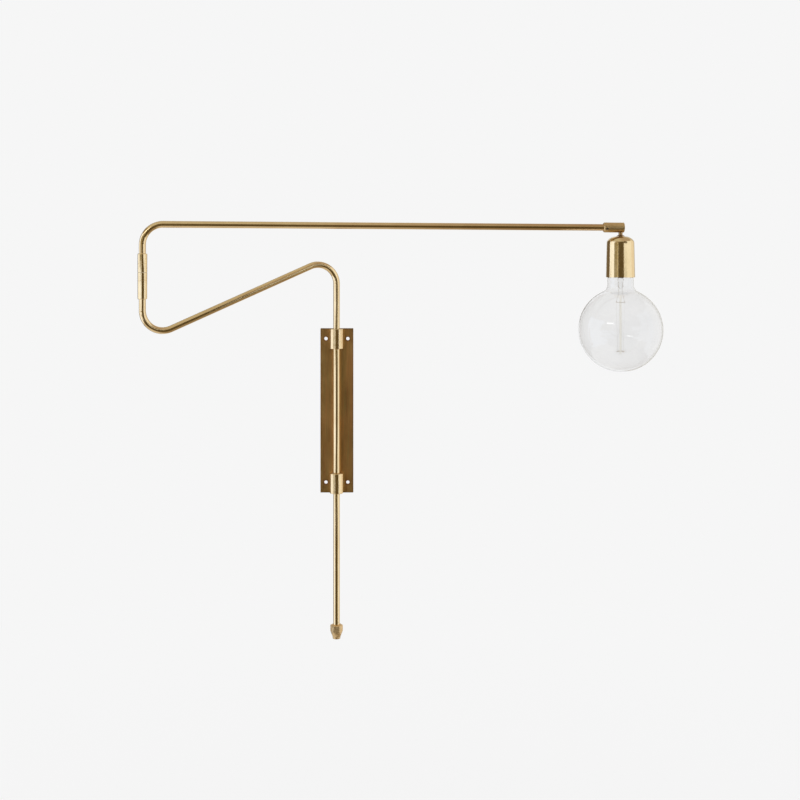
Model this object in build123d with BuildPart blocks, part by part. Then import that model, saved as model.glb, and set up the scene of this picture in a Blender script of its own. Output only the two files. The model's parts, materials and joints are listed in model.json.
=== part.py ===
from build123d import *
import os
from math import asin, cos, pi, radians, sin, sqrt, tan

os.makedirs("parts", exist_ok=True)

# A swing arm wall lamp in brass, in millimetres.
# +Z is up, the wall lies at +Y, and the origin is the centre of the plate's back face.
# The arm is drawn swung a little away from the wall, so that the globe bulb clears it.

# Pose of the arm as drawn, in degrees
swing_angle = 20.0            # plane of the lower arm, away from the wall
fold_angle = 16.65            # upper arm, away from lying straight back over the lower arm
arm_droop = 0.33              # sag of the long upper arm below level

# Clearances
running_gap = 0.05            # radial, between pieces that turn or slide in each other
slip_gap = 0.05               # radial, between pieces that are fixed in each other
joint_gap = 0.3               # between flex ends on the two sides of a joint
tip_gap = 0.2                 # between a grub screw's tip and the groove it rides in

# Wall plate
plate_width = 51.0
plate_height = 255.0
plate_thickness = 3.0
plate_chamfer = 0.4
wall_hole_diameter = 5.5
wall_hole_spacing_x = 34.0
wall_hole_spacing_z = 223.0

# Collars that carry the tube
collar_diameter = 21.0
collar_length = 31.0
collar_flat_depth = 0.5
collar_chamfer = 0.6
lower_collar_inset = 1.2      # the lower collar stops this far above the plate's end
liner_wall = 1.45
liner_recess = 0.6
liner_groove_depth = 0.6

# Countersunk screws that hold each collar from behind the plate
fixing_screw_diameter = 4.0
fixing_screw_head = 7.6
fixing_screw_length = 6.0
fixing_screw_spacing = 18.0
fixing_screw_sink = 0.15      # heads below the plate's back face
fixing_screw_slot = 1.0       # width of the cross in the head

# Grub screws
collar_grub_diameter = 4.0
collar_grub_socket = 2.0
knuckle_grub_diameter = 3.0
knuckle_grub_socket = 1.5
grub_sink = 0.4               # how far a grub screw sits below the surface
socket_depth = 1.2

# Bent tube
tube_diameter = 10.0
tube_wall = 1.0
bend_radius = 30.0
lower_reach = 296.0           # mount axis to elbow axis
top_corner_height = 242.0     # where the lines of the mount tube and the diagonal meet
diagonal_drop = 127.0         # fall of the diagonal over the lower reach
mount_tube_length = 580.0     # from that corner down to the tube's lower end
upper_reach = 707.0           # elbow axis to lamp axis
upper_rise = 42.8             # top of the elbow sleeve to the line of the upper arm

# Gland nut and bush at the lower end, where the supply cord goes in
gland_across_flats = 17.0
gland_hex_length = 11.0
gland_taper_length = 7.7
gland_lip_length = 2.5
gland_lip_diameter = 12.0
gland_cover = 8.4             # how far the nut reaches up over the tube's end
gland_mouth_diameter = 8.0
gland_mouth_wall = 2.0
gland_chamfer = 0.7
bush_bore = 6.2
bush_length = 8.6
bush_chamfer = 0.5

# Elbow sleeve, in four turned sections on a hollow spindle
elbow_diameter = 13.8
elbow_rise = 61.9             # low corner of the tube to the bottom of the sleeve
lower_sleeve_length = 27.6
lower_ring_length = 11.4
upper_ring_length = 13.1
upper_sleeve_length = 14.4
elbow_end_radius = 1.2
elbow_end_steps = 6           # short flats that round each end
seam_chamfer = 0.25
elbow_washer_thickness = 0.4
spindle_bore = 6.3
spindle_wall = 0.75
sleeve_floor = 4.5            # metal between the lower sleeve's bore and its top
spring_washer_thickness = 0.6
spindle_nut_length = 4.0
spindle_nut_wall = 0.9
spindle_nut_slot = 1.2
spindle_overhang = 0.8
upper_socket_floor = 5.6
tube_end_gap = 0.2
lower_tube_insert = 13.4

# Flex inside the tubes and its two cores in the lamp head
flex_diameter = 5.7
core_diameter = 2.0
core_offset = 1.1
core_bend = 2.6
flex_start = 8.0              # inside the tube, above its lower end

# Knuckle on the end of the upper arm
knuckle_diameter = 15.0
knuckle_length = 31.0
knuckle_overhang = 5.0        # beyond the lamp axis
knuckle_chamfer = 1.3
knuckle_end_chamfer = 0.4
knuckle_socket = 12.5
knuckle_bore = 6.4
knuckle_end_wall = 2.5
knuckle_grub_place = 4.4      # from the knuckle's open end
knuckle_grub_angle = 17.0     # below level, on the front
tube_groove_depth = 0.5

# Nipple between the knuckle and the cup
nipple_neck_diameter = 6.1
nipple_neck_length = 3.9
nipple_flange_diameter = 12.3
nipple_flange_top = 8.4
nipple_flange_height = 1.9
nipple_flange_edge = 0.6      # upright part of the flange's rim
nipple_thread_diameter = 10.0
nipple_thread_length = 11.5
nipple_bore = 4.6
lock_nut_across_flats = 13.0
lock_nut_height = 3.0

# Cup over the lampholder
cup_height = 61.0
cup_mouth_diameter = 42.7
cup_shoulder_diameter = 40.4
cup_shoulder_drop = 7.6
cup_dome_mid_radius = 14.2
cup_dome_mid_drop = 2.5
cup_land_diameter = 15.0
cup_shoulder_radius = 4.0
cup_wall = 1.0

# Lampholder for a 27 mm screw cap
holder_diameter = 35.0
holder_cap_height = 13.7
holder_cap_shoulder = 11.0
holder_cap_slope = 5.0
holder_cap_wall = 2.0
holder_boss_diameter = 16.0
holder_boss_height = 7.0
holder_rim = 2.5              # top edge of the body above its floor
holder_floor = 3.0
holder_bore = 29.2
holder_skirt = 28.0
shell_crest_radius = 13.6
shell_wall = 0.3
shell_length = 23.0
shell_drop = 3.8              # below the floor
thread_depth = 0.4
thread_pitch = 3.6
strip_thickness = 0.6
strip_width = 6.0
riser_setback = 3.6           # centre strip's riser, inwards from its terminal
terminal_place = 8.0
terminal_screw_diameter = 3.0
terminal_head_diameter = 5.5
terminal_head_height = 2.0
terminal_screw_length = 2.6
terminal_screw_slot = 0.8
slot_gap = 0.2
contact_button_diameter = 5.0
contact_button_height = 1.1

# Globe bulb
globe_diameter = 125.0
bulb_length = 177.0
neck_diameter = 39.0
neck_fillet = 8.0
glass_wall = 1.0
bulb_contact_gap = 0.3
bulb_cap_length = 26.5
bulb_shell_crest = 13.1
bulb_shell_wall = 0.35
bulb_shell_top = 4.0          # shell starts this far below the contact's tip
bulb_shell_shoulder = 1.0
bulb_shell_skirt = 3.0
bulb_contact_radius = 4.5
bulb_contact_height = 1.4
bulb_contact_rim = 1.0
insulator_top_radius = 6.0
insulator_bottom_radius = 11.4
insulator_rim = 1.5
glass_root_radius = 12.1
glass_root_height = 7.0       # glass held inside the cap
shoulder_start = 1.2          # cap's lower edge to the glass shoulder
shoulder_height = 8.0
stem_radius = 4.0
stem_wall = 0.8
stem_sink = 1.0               # stem's flare below the glass edge in the cap
stem_flare_height = 14.0
stem_tube_length = 6.0
press_width = 9.0
press_thickness = 3.6
press_height = 11.0
rod_diameter = 2.2
rod_tip_diameter = 3.0
rod_length = 97.0
hook_count = 4
hook_radius = 6.3
hook_twist = 22.5             # degrees from the arm's line to the first hook
hook_wire = 0.5
upper_hook_drop = 17.5        # below the press
lower_hook_rise = 2.2         # above the rod's tip
filament_wire = 0.3
lead_wire = 0.6


def turned(plane, profile):
    """A solid of revolution about the plane's own Y axis, from (radius, height) points."""
    with BuildPart() as piece:
        with BuildSketch(plane):
            with BuildLine():
                Polyline(*profile, close=True)
            make_face()
        revolve(axis=Axis(plane.origin, plane.y_dir))
    return piece


def ring(plane, inner_radius, outer_radius, bottom, top, chamfer_size=0.0):
    """A plain ring, with the same small chamfer on its two outer edges."""
    c = chamfer_size
    profile = [(inner_radius, bottom), (outer_radius - c, bottom), (outer_radius, bottom + c)]
    profile += [(outer_radius, top - c), (outer_radius - c, top), (inner_radius, top)]
    points = [p for i, p in enumerate(profile) if i == 0 or p != profile[i - 1]]
    return turned(plane, points)


def rolled_edge(radius, depth, top, length):
    """Zigzag points down a rolled thread, drawn as rings, from crest to crest."""
    turns = int(length / thread_pitch)
    step = length / (2 * turns)
    return [(radius - depth * (i % 2), top - i * step) for i in range(2 * turns + 1)]


def wire_run(points, diameter):
    """Round wire along straight runs, with a ball at each turn."""
    with BuildPart() as wire:
        for start, end in zip(points, points[1:]):
            with BuildSketch(Plane(origin=start, z_dir=end - start)):
                Circle(diameter / 2)
            extrude(amount=(end - start).length)
        for point in points[1:-1]:
            with Locations(point):
                Sphere(diameter / 2)
    return wire


def save(builder, name):
    """Label a finished piece and write it under its own name."""
    builder.part.label = name
    export_step(builder.part, f"parts/{name}.step")


# Radii that several pieces share
tube_radius = tube_diameter / 2
tube_bore_radius = tube_radius - tube_wall
liner_inner = tube_radius + running_gap
liner_outer = liner_inner + liner_wall
collar_bore = liner_outer + running_gap
tube_socket = tube_radius + slip_gap
spindle_inner = spindle_bore / 2
spindle_outer = spindle_inner + spindle_wall
bush_radius = spindle_outer + running_gap
spindle_seat = spindle_outer + slip_gap
elbow_radius = elbow_diameter / 2
knuckle_radius = knuckle_diameter / 2

# Heights from the plate's centre
axis_offset = plate_thickness + collar_diameter / 2 - collar_flat_depth
tube_bottom = top_corner_height - mount_tube_length
low_corner = top_corner_height - diagonal_drop
elbow_bottom = low_corner + elbow_rise
lower_ring_bottom = elbow_bottom + lower_sleeve_length
pivot_height = lower_ring_bottom + lower_ring_length
upper_ring_bottom = pivot_height + elbow_washer_thickness
upper_sleeve_bottom = upper_ring_bottom + upper_ring_length
elbow_top = upper_sleeve_bottom + upper_sleeve_length
arm_corner = elbow_top + upper_rise
lower_tube_top = elbow_bottom + lower_tube_insert
upper_tube_bottom = upper_sleeve_bottom + upper_socket_floor + tube_end_gap
spindle_top = upper_sleeve_bottom + upper_socket_floor
sleeve_shoulder = lower_ring_bottom - sleeve_floor
spindle_nut_top = sleeve_shoulder - spring_washer_thickness
spindle_bottom = spindle_nut_top - spindle_nut_length - spindle_overhang
flex_split = (pivot_height + upper_ring_bottom) / 2

# Planes: in each upright plane X runs outwards from its axis and Y runs up
lower_way = Vector(-cos(radians(swing_angle)), -sin(radians(swing_angle)), 0)
upper_turn = radians(swing_angle - fold_angle)
upper_way = Vector(cos(upper_turn), sin(upper_turn), 0)
up = Vector(0, 0, 1)
mount_point = Vector(0, -axis_offset, 0)
elbow_point = mount_point + lower_way * lower_reach
mount_plane = Plane(origin=mount_point, x_dir=(1, 0, 0), z_dir=(0, -1, 0))
lower_plane = Plane(origin=mount_point, x_dir=lower_way, z_dir=lower_way.cross(up))
upper_plane = Plane(origin=elbow_point, x_dir=upper_way, z_dir=upper_way.cross(up))
droop_slope = tan(radians(arm_droop))
lamp_point = elbow_point + upper_way * upper_reach + up * (arm_corner - upper_reach * droop_slope)
head_plane = Plane(origin=lamp_point, x_dir=upper_way, z_dir=upper_way.cross(up))
arm_way = (upper_way - up * droop_slope).normalized()
front_way = upper_way.cross(up)
knuckle_start = knuckle_length - knuckle_overhang
knuckle_plane = Plane(origin=lamp_point - arm_way * knuckle_start, x_dir=front_way, z_dir=arm_way)


# Wall plate: a flat strip with four wall holes, and countersinks behind for the collar screws
upper_collar_bottom = plate_height / 2 - collar_length
lower_collar_bottom = -plate_height / 2 + lower_collar_inset
collar_centres = [upper_collar_bottom + collar_length / 2, lower_collar_bottom + collar_length / 2]
fixing_heights = [
    centre + side * fixing_screw_spacing / 2 for centre in collar_centres for side in (1, -1)
]
plate_back = Plane(origin=(0, 0, 0), x_dir=(1, 0, 0), z_dir=(0, -1, 0))

with BuildPart() as wall_plate:
    with BuildSketch(plate_back):
        Rectangle(plate_width, plate_height)
    extrude(amount=plate_thickness)
    front_edges = wall_plate.faces().sort_by(Axis.Y)[0].edges()
    chamfer(front_edges, length=plate_chamfer)
    with BuildSketch(plate_back):
        with GridLocations(wall_hole_spacing_x, wall_hole_spacing_z, 2, 2):
            Circle(wall_hole_diameter / 2)
    extrude(amount=plate_thickness, mode=Mode.SUBTRACT)
    with Locations(Plane(origin=(0, 0, 0), x_dir=(1, 0, 0), z_dir=(0, 1, 0))):
        with Locations([(0, -height) for height in fixing_heights]):
            CounterSinkHole(
                radius=fixing_screw_diameter / 2 + slip_gap,
                counter_sink_radius=fixing_screw_head / 2 + slip_gap + fixing_screw_sink,
                depth=plate_thickness,
                counter_sink_angle=90,
            )
save(wall_plate, "wall_plate")


# Collars: thick rings with a flat that seats on the plate
fixing_depth = fixing_screw_length - plate_thickness
grub_hole_radius = collar_grub_diameter / 2 + slip_gap


def make_collar(bottom):
    """One collar, its fixing screw holes behind and its grub screw hole at the side."""
    middle = bottom + collar_length / 2
    with BuildPart() as collar:
        with BuildSketch(Plane(origin=(0, -axis_offset, bottom))):
            Circle(collar_diameter / 2)
        extrude(amount=collar_length)
        chamfer(collar.edges().filter_by(GeomType.CIRCLE), length=collar_chamfer)
        with BuildSketch(Plane(origin=(0, -axis_offset, bottom))):
            Circle(collar_bore)
        extrude(amount=collar_length, mode=Mode.SUBTRACT)
        with Locations((0, -plate_thickness + collar_diameter / 2, middle)):
            Box(collar_diameter, collar_diameter, collar_length, mode=Mode.SUBTRACT)
        for side in (1, -1):
            screw_height = middle + side * fixing_screw_spacing / 2
            with BuildSketch(Plane(origin=(0, -plate_thickness, screw_height), z_dir=(0, -1, 0))):
                Circle(fixing_screw_diameter / 2 + slip_gap)
            extrude(amount=fixing_depth, mode=Mode.SUBTRACT)
        with BuildSketch(Plane(origin=(0, -axis_offset, middle), z_dir=(1, 0, 0))):
            Circle(grub_hole_radius)
        extrude(amount=collar_diameter, mode=Mode.SUBTRACT)
    return collar


save(make_collar(upper_collar_bottom), "upper_collar")
save(make_collar(lower_collar_bottom), "lower_collar")


# Countersunk screws through the plate into the collars
head_depth = (fixing_screw_head - fixing_screw_diameter) / 2

with BuildPart() as collar_screws:
    for height in fixing_heights:
        screw_plane = Plane(origin=(0, -fixing_screw_sink, height), x_dir=(1, 0, 0), z_dir=(0, -1, 0))
        with BuildSketch(screw_plane):
            Circle(fixing_screw_diameter / 2)
        extrude(amount=fixing_screw_length - fixing_screw_sink - slip_gap)
        with BuildSketch(screw_plane):
            Circle(fixing_screw_head / 2)
        with BuildSketch(screw_plane.offset(head_depth)):
            Circle(fixing_screw_diameter / 2)
        loft()
        with BuildSketch(screw_plane):
            for turn in (0, 90):
                with Locations(Location((0, 0), turn)):
                    Rectangle(fixing_screw_head / 2, fixing_screw_slot)
        extrude(amount=socket_depth, mode=Mode.SUBTRACT)
save(collar_screws, "collar_screws")


# Grub screws in the collars: each tip rides in the groove of a liner and keeps it in place
def grub_screw(plane, outer_end, inner_end, diameter, across_flats):
    """A socket grub screw along the plane's Z."""
    with BuildPart() as screw:
        with BuildSketch(plane.offset(inner_end)):
            Circle(diameter / 2)
        extrude(amount=outer_end - inner_end)
        with BuildSketch(plane.offset(outer_end - socket_depth)):
            RegularPolygon(across_flats / 2, 6, major_radius=False)
        extrude(amount=socket_depth, mode=Mode.SUBTRACT)
    return screw


collar_grub_tip = liner_outer - liner_groove_depth + tip_gap
collar_grub_end = collar_diameter / 2 - grub_sink

collar_grubs = [
    grub_screw(
        Plane(origin=(0, -axis_offset, centre), z_dir=(1, 0, 0)),
        collar_grub_end,
        collar_grub_tip,
        collar_grub_diameter,
        collar_grub_socket,
    )
    for centre in collar_centres
]

with BuildPart() as collar_grub_screws:
    for screw in collar_grubs:
        add(screw.part)
save(collar_grub_screws, "collar_grub_screws")


# Liners: the tube slides in them and they turn in the collars
liner_groove_half = collar_grub_diameter / 2 + tip_gap


def make_liner(bottom):
    """One liner, with a groove round its middle for the grub screw's tip."""
    low = bottom + liner_recess
    high = bottom + collar_length - liner_recess
    middle = bottom + collar_length / 2
    groove = liner_outer - liner_groove_depth
    profile = [(liner_inner, low), (liner_outer, low), (liner_outer, middle - liner_groove_half)]
    profile += [(groove, middle - liner_groove_half), (groove, middle + liner_groove_half)]
    profile += [(liner_outer, middle + liner_groove_half), (liner_outer, high), (liner_inner, high)]
    return turned(mount_plane, profile)


save(make_liner(upper_collar_bottom), "upper_liner")
save(make_liner(lower_collar_bottom), "lower_liner")


# Lower arm tube: up through the collars, over a bend, down the diagonal and up into the elbow
with BuildLine(lower_plane) as lower_path:
    FilletPolyline(
        (0, tube_bottom),
        (0, top_corner_height),
        (lower_reach, low_corner),
        (lower_reach, lower_tube_top),
        radius=bend_radius,
    )

with BuildPart() as lower_arm_tube:
    with BuildSketch(Plane(origin=lower_path.line @ 0, z_dir=lower_path.line % 0)):
        Circle(tube_radius)
        Circle(tube_bore_radius, mode=Mode.SUBTRACT)
    sweep(path=lower_path.line)
save(lower_arm_tube, "lower_arm_tube")


# Gland nut: a hexagon that tapers to a round lip
gland_top = tube_bottom + gland_cover
gland_hex_bottom = gland_top - gland_hex_length
gland_taper_bottom = gland_hex_bottom - gland_taper_length
gland_bottom = gland_taper_bottom - gland_lip_length
gland_length = gland_top - gland_bottom
gland_corner = gland_across_flats / sqrt(3)
gland_seat = gland_bottom + gland_mouth_wall

gland_profile = [(0, gland_top), (gland_corner - gland_chamfer, gland_top)]
gland_profile += [(gland_corner, gland_top - gland_chamfer), (gland_corner, gland_hex_bottom)]
gland_profile += [(gland_lip_diameter / 2, gland_taper_bottom), (gland_lip_diameter / 2, gland_bottom)]
gland_profile += [(0, gland_bottom)]
gland_blank = turned(mount_plane, gland_profile)

with BuildPart() as gland_nut:
    with BuildSketch(Plane(origin=(0, -axis_offset, gland_bottom))):
        RegularPolygon(gland_corner, 6)
    extrude(amount=gland_length)
    add(gland_blank.part, mode=Mode.INTERSECT)
    with BuildSketch(Plane(origin=(0, -axis_offset, gland_seat))):
        Circle(tube_socket)
    extrude(amount=gland_length, mode=Mode.SUBTRACT)
    with BuildSketch(Plane(origin=(0, -axis_offset, gland_bottom))):
        Circle(gland_mouth_diameter / 2)
    extrude(amount=gland_mouth_wall, mode=Mode.SUBTRACT)
save(gland_nut, "gland_nut")

save(ring(mount_plane, bush_bore / 2, tube_radius, gland_seat, gland_seat + bush_length, bush_chamfer),
     "gland_bush")


# Elbow: the lower sleeve and lower ring stay with the lower arm
def end_arc(inner_radius, end_height, way):
    """Points of a rounded outer corner of the sleeve; way is +1 at the top, -1 at the bottom."""
    points = [(inner_radius, end_height)]
    for step in range(elbow_end_steps + 1):
        angle = pi / 2 * step / elbow_end_steps
        radius = elbow_radius - elbow_end_radius * (1 - sin(angle))
        points.append((radius, end_height - way * elbow_end_radius * (1 - cos(angle))))
    return points


lower_sleeve_profile = end_arc(tube_socket, elbow_bottom, -1)
lower_sleeve_profile += [(elbow_radius, lower_ring_bottom - seam_chamfer)]
lower_sleeve_profile += [(elbow_radius - seam_chamfer, lower_ring_bottom)]
lower_sleeve_profile += [(bush_radius, lower_ring_bottom)]
lower_sleeve_profile += [(bush_radius, sleeve_shoulder), (tube_socket, sleeve_shoulder)]
save(turned(upper_plane, lower_sleeve_profile), "elbow_lower_sleeve")

save(ring(upper_plane, bush_radius, elbow_radius, lower_ring_bottom, pivot_height, seam_chamfer),
     "elbow_lower_ring")
save(ring(upper_plane, bush_radius, elbow_radius - seam_chamfer, pivot_height, upper_ring_bottom),
     "elbow_washer")

# The upper ring, upper sleeve and hollow spindle turn with the upper arm
save(ring(upper_plane, spindle_seat, elbow_radius, upper_ring_bottom, upper_sleeve_bottom, seam_chamfer),
     "elbow_upper_ring")

upper_sleeve_profile = end_arc(tube_socket, elbow_top, 1)
upper_sleeve_profile += [(elbow_radius, upper_sleeve_bottom + seam_chamfer)]
upper_sleeve_profile += [(elbow_radius - seam_chamfer, upper_sleeve_bottom)]
upper_sleeve_profile += [(spindle_seat, upper_sleeve_bottom)]
upper_sleeve_profile += [(spindle_seat, spindle_top), (tube_socket, spindle_top)]
save(turned(upper_plane, upper_sleeve_profile), "elbow_upper_sleeve")

save(ring(upper_plane, spindle_inner, spindle_outer, spindle_bottom, spindle_top), "elbow_spindle")

spindle_nut_outer = spindle_seat + spindle_nut_wall
save(ring(upper_plane, spindle_seat, spindle_nut_outer, spindle_nut_top, sleeve_shoulder),
     "elbow_spring_washer")

with BuildPart() as elbow_spindle_nut:
    with BuildSketch(Plane(origin=elbow_point + up * (spindle_nut_top - spindle_nut_length))):
        Circle(spindle_nut_outer)
        Circle(spindle_seat, mode=Mode.SUBTRACT)
    extrude(amount=spindle_nut_length)
    with Locations(elbow_point + up * (spindle_nut_top - spindle_nut_length)):
        Box(2 * elbow_diameter, spindle_nut_slot, spindle_nut_length, mode=Mode.SUBTRACT)
save(elbow_spindle_nut, "elbow_spindle_nut")


# Upper arm tube: up out of the elbow, over a bend and along to the knuckle
tube_end_reach = upper_reach - knuckle_start + knuckle_socket - tube_end_gap

with BuildLine(upper_plane) as upper_path:
    FilletPolyline(
        (0, upper_tube_bottom),
        (0, arm_corner),
        (tube_end_reach, arm_corner - tube_end_reach * droop_slope),
        radius=bend_radius,
    )

knuckle_groove_half = knuckle_grub_diameter / 2 + tip_gap

with BuildPart() as upper_arm_tube:
    with BuildSketch(Plane(origin=upper_path.line @ 0, z_dir=upper_path.line % 0)):
        Circle(tube_radius)
        Circle(tube_bore_radius, mode=Mode.SUBTRACT)
    sweep(path=upper_path.line)
    with BuildSketch(knuckle_plane.offset(knuckle_grub_place - knuckle_groove_half)):
        Circle(tube_radius + tube_wall)
        Circle(tube_radius - tube_groove_depth, mode=Mode.SUBTRACT)
    extrude(amount=2 * knuckle_groove_half, mode=Mode.SUBTRACT)
save(upper_arm_tube, "upper_arm_tube")


# Flex inside the tubes, parted where the elbow turns
with BuildLine(lower_plane) as lower_flex_path:
    FilletPolyline(
        (0, tube_bottom + flex_start),
        (0, top_corner_height),
        (lower_reach, low_corner),
        (lower_reach, flex_split - joint_gap / 2),
        radius=bend_radius,
    )

with BuildPart() as lower_flex:
    with BuildSketch(Plane(origin=lower_flex_path.line @ 0, z_dir=lower_flex_path.line % 0)):
        Circle(flex_diameter / 2)
    sweep(path=lower_flex_path.line)
save(lower_flex, "lower_flex")

with BuildLine(upper_plane) as upper_flex_path:
    FilletPolyline(
        (0, flex_split + joint_gap / 2),
        (0, arm_corner),
        (tube_end_reach, arm_corner - tube_end_reach * droop_slope),
        radius=bend_radius,
    )

with BuildPart() as upper_flex:
    with BuildSketch(Plane(origin=upper_flex_path.line @ 0, z_dir=upper_flex_path.line % 0)):
        Circle(flex_diameter / 2)
    sweep(path=upper_flex_path.line)
save(upper_flex, "upper_flex")


# Knuckle: a short brass bar, bored for the tube and the cores
knuckle_down = Plane(origin=lamp_point, x_dir=upper_way, z_dir=-up)
grub_turn = radians(knuckle_grub_angle)
grub_way = front_way * cos(grub_turn) - up * sin(grub_turn)
grub_plane = Plane(origin=knuckle_plane.origin + arm_way * knuckle_grub_place, z_dir=grub_way)

with BuildPart() as knuckle:
    with BuildSketch(knuckle_plane):
        Circle(knuckle_radius)
    extrude(amount=knuckle_length)
    ends = knuckle.faces().filter_by(GeomType.PLANE).sort_by(Axis(knuckle_plane.origin, arm_way))
    chamfer(ends[0].edges(), length=knuckle_chamfer)
    ends = knuckle.faces().filter_by(GeomType.PLANE).sort_by(Axis(knuckle_plane.origin, arm_way))
    chamfer(ends[-1].edges(), length=knuckle_end_chamfer)
    with BuildSketch(knuckle_plane):
        Circle(tube_radius + running_gap)
    extrude(amount=knuckle_socket, mode=Mode.SUBTRACT)
    with BuildSketch(knuckle_plane):
        Circle(knuckle_bore / 2)
    extrude(amount=knuckle_length - knuckle_end_wall, mode=Mode.SUBTRACT)
    with BuildSketch(knuckle_down):
        Circle(nipple_neck_diameter / 2 + slip_gap)
    extrude(amount=knuckle_diameter, mode=Mode.SUBTRACT)
    with BuildSketch(grub_plane):
        Circle(knuckle_grub_diameter / 2 + slip_gap)
    extrude(amount=knuckle_diameter, mode=Mode.SUBTRACT)
save(knuckle, "knuckle")

knuckle_grub_tip = tube_radius - tube_groove_depth + tip_gap
knuckle_grub_screw = grub_screw(
    grub_plane, knuckle_radius - grub_sink, knuckle_grub_tip, knuckle_grub_diameter, knuckle_grub_socket
)
save(knuckle_grub_screw, "knuckle_grub_screw")


# Nipple: screwed into the knuckle, with a flange on the cup and a thread below it
nipple_top = -knuckle_bore / 2
neck_bottom = -knuckle_radius - nipple_neck_length
cup_top = neck_bottom - nipple_flange_height
thread_bottom = cup_top - nipple_thread_length
thread_radius = nipple_thread_diameter / 2
nipple_profile = [(nipple_bore / 2, nipple_top), (nipple_neck_diameter / 2, nipple_top)]
nipple_profile += [(nipple_neck_diameter / 2, neck_bottom), (nipple_flange_top / 2, neck_bottom)]
nipple_profile += [(nipple_flange_diameter / 2, cup_top + nipple_flange_edge)]
nipple_profile += [(nipple_flange_diameter / 2, cup_top), (thread_radius, cup_top)]
nipple_profile += [(thread_radius, thread_bottom), (nipple_bore / 2, thread_bottom)]
save(turned(head_plane, nipple_profile), "lamp_nipple")


# Cup: a drawn brass shell with a domed top and a slightly flared side
cup_mouth = cup_top - cup_height
cup_axis = Axis(head_plane.origin, head_plane.y_dir)

with BuildPart() as socket_cup:
    with BuildSketch(head_plane):
        with BuildLine():
            Line((0, cup_top), (cup_land_diameter / 2, cup_top))
            ThreePointArc(
                (cup_land_diameter / 2, cup_top),
                (cup_dome_mid_radius, cup_top - cup_dome_mid_drop),
                (cup_shoulder_diameter / 2, cup_top - cup_shoulder_drop),
            )
            Polyline(
                (cup_shoulder_diameter / 2, cup_top - cup_shoulder_drop),
                (cup_mouth_diameter / 2, cup_mouth),
                (0, cup_mouth),
                (0, cup_top),
            )
        make_face()
    revolve(axis=cup_axis)
    rims = socket_cup.edges().filter_by(GeomType.CIRCLE).sort_by(Axis.Z)
    fillet(rims[1], radius=cup_shoulder_radius)
    offset(amount=-cup_wall, openings=socket_cup.faces().sort_by(Axis.Z)[0])
    with BuildSketch(Plane(origin=lamp_point + up * cup_top, z_dir=-up)):
        Circle(thread_radius + slip_gap)
    extrude(amount=2 * cup_wall, mode=Mode.SUBTRACT)
save(socket_cup, "socket_cup")

lock_nut_top = cup_top - cup_wall
holder_top = lock_nut_top - lock_nut_height

with BuildPart() as cup_lock_nut:
    with BuildSketch(Plane(origin=lamp_point + up * holder_top, x_dir=upper_way, z_dir=up)):
        RegularPolygon(lock_nut_across_flats / 2, 6, major_radius=False)
        Circle(thread_radius + slip_gap, mode=Mode.SUBTRACT)
    extrude(amount=lock_nut_height)
save(cup_lock_nut, "cup_lock_nut")


# Lampholder: an insulating cap on the nipple, and a body with a floor and a skirt
holder_radius = holder_diameter / 2
holder_cap_bottom = holder_top - holder_cap_height
floor_top = holder_cap_bottom - holder_rim
floor_bottom = floor_top - holder_floor
holder_bottom = floor_bottom - holder_skirt
cap_inner = holder_radius - holder_cap_wall
cap_ceiling = holder_top - holder_cap_wall
boss_bottom = holder_top - holder_boss_height

holder_cap_profile = [(thread_radius + slip_gap, holder_top), (holder_cap_shoulder, holder_top)]
holder_cap_profile += [(holder_radius, holder_top - holder_cap_slope), (holder_radius, holder_cap_bottom)]
holder_cap_profile += [(cap_inner, holder_cap_bottom), (cap_inner, cap_ceiling - holder_cap_slope)]
holder_cap_profile += [(holder_cap_shoulder - holder_cap_wall / 2, cap_ceiling)]
holder_cap_profile += [(holder_boss_diameter / 2, cap_ceiling)]
holder_cap_profile += [(holder_boss_diameter / 2, boss_bottom), (thread_radius + slip_gap, boss_bottom)]
save(turned(head_plane, holder_cap_profile), "lampholder_cap")


def head_box(across, along, bottom, top):
    """A box in the lamp head; across and along are (low, high) pairs from its axis."""
    middle = lamp_point + front_way * sum(across) / 2 + upper_way * sum(along) / 2
    with BuildPart() as box:
        with BuildSketch(Plane(origin=middle + up * bottom, x_dir=front_way, z_dir=up)):
            Rectangle(across[1] - across[0], along[1] - along[0])
        extrude(amount=top - bottom)
    return box


strip_half = strip_width / 2
riser_face = terminal_place - riser_setback
riser_place = (riser_face, riser_face + strip_thickness)
leg_outer = shell_crest_radius + thread_depth + shell_wall
leg_place = (-leg_outer + slip_gap, -leg_outer + slip_gap + strip_thickness)
screw_places = [lamp_point + front_way * side * terminal_place for side in (1, -1)]
terminal_hole_radius = terminal_screw_diameter / 2 + slip_gap
foot_top = floor_top + strip_thickness

body_profile = [(0, floor_bottom), (holder_bore / 2, floor_bottom), (holder_bore / 2, holder_bottom)]
body_profile += [(holder_radius, holder_bottom), (holder_radius, holder_cap_bottom)]
body_profile += [(holder_bore / 2, holder_cap_bottom), (holder_bore / 2, floor_top), (0, floor_top)]
holder_blank = turned(head_plane, body_profile)
slot_along = (-strip_half - slot_gap, strip_half + slot_gap)
floor_slots = [
    head_box((place[0] - slot_gap, place[1] + slot_gap), slot_along, floor_bottom, floor_top)
    for place in (riser_place, leg_place)
]

with BuildPart() as lampholder_body:
    add(holder_blank.part)
    for slot in floor_slots:
        add(slot.part, mode=Mode.SUBTRACT)
    for place in screw_places:
        with BuildSketch(Plane(origin=place + up * floor_top, z_dir=-up)):
            Circle(terminal_hole_radius)
        extrude(amount=terminal_screw_length, mode=Mode.SUBTRACT)
save(lampholder_body, "lampholder_body")

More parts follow.
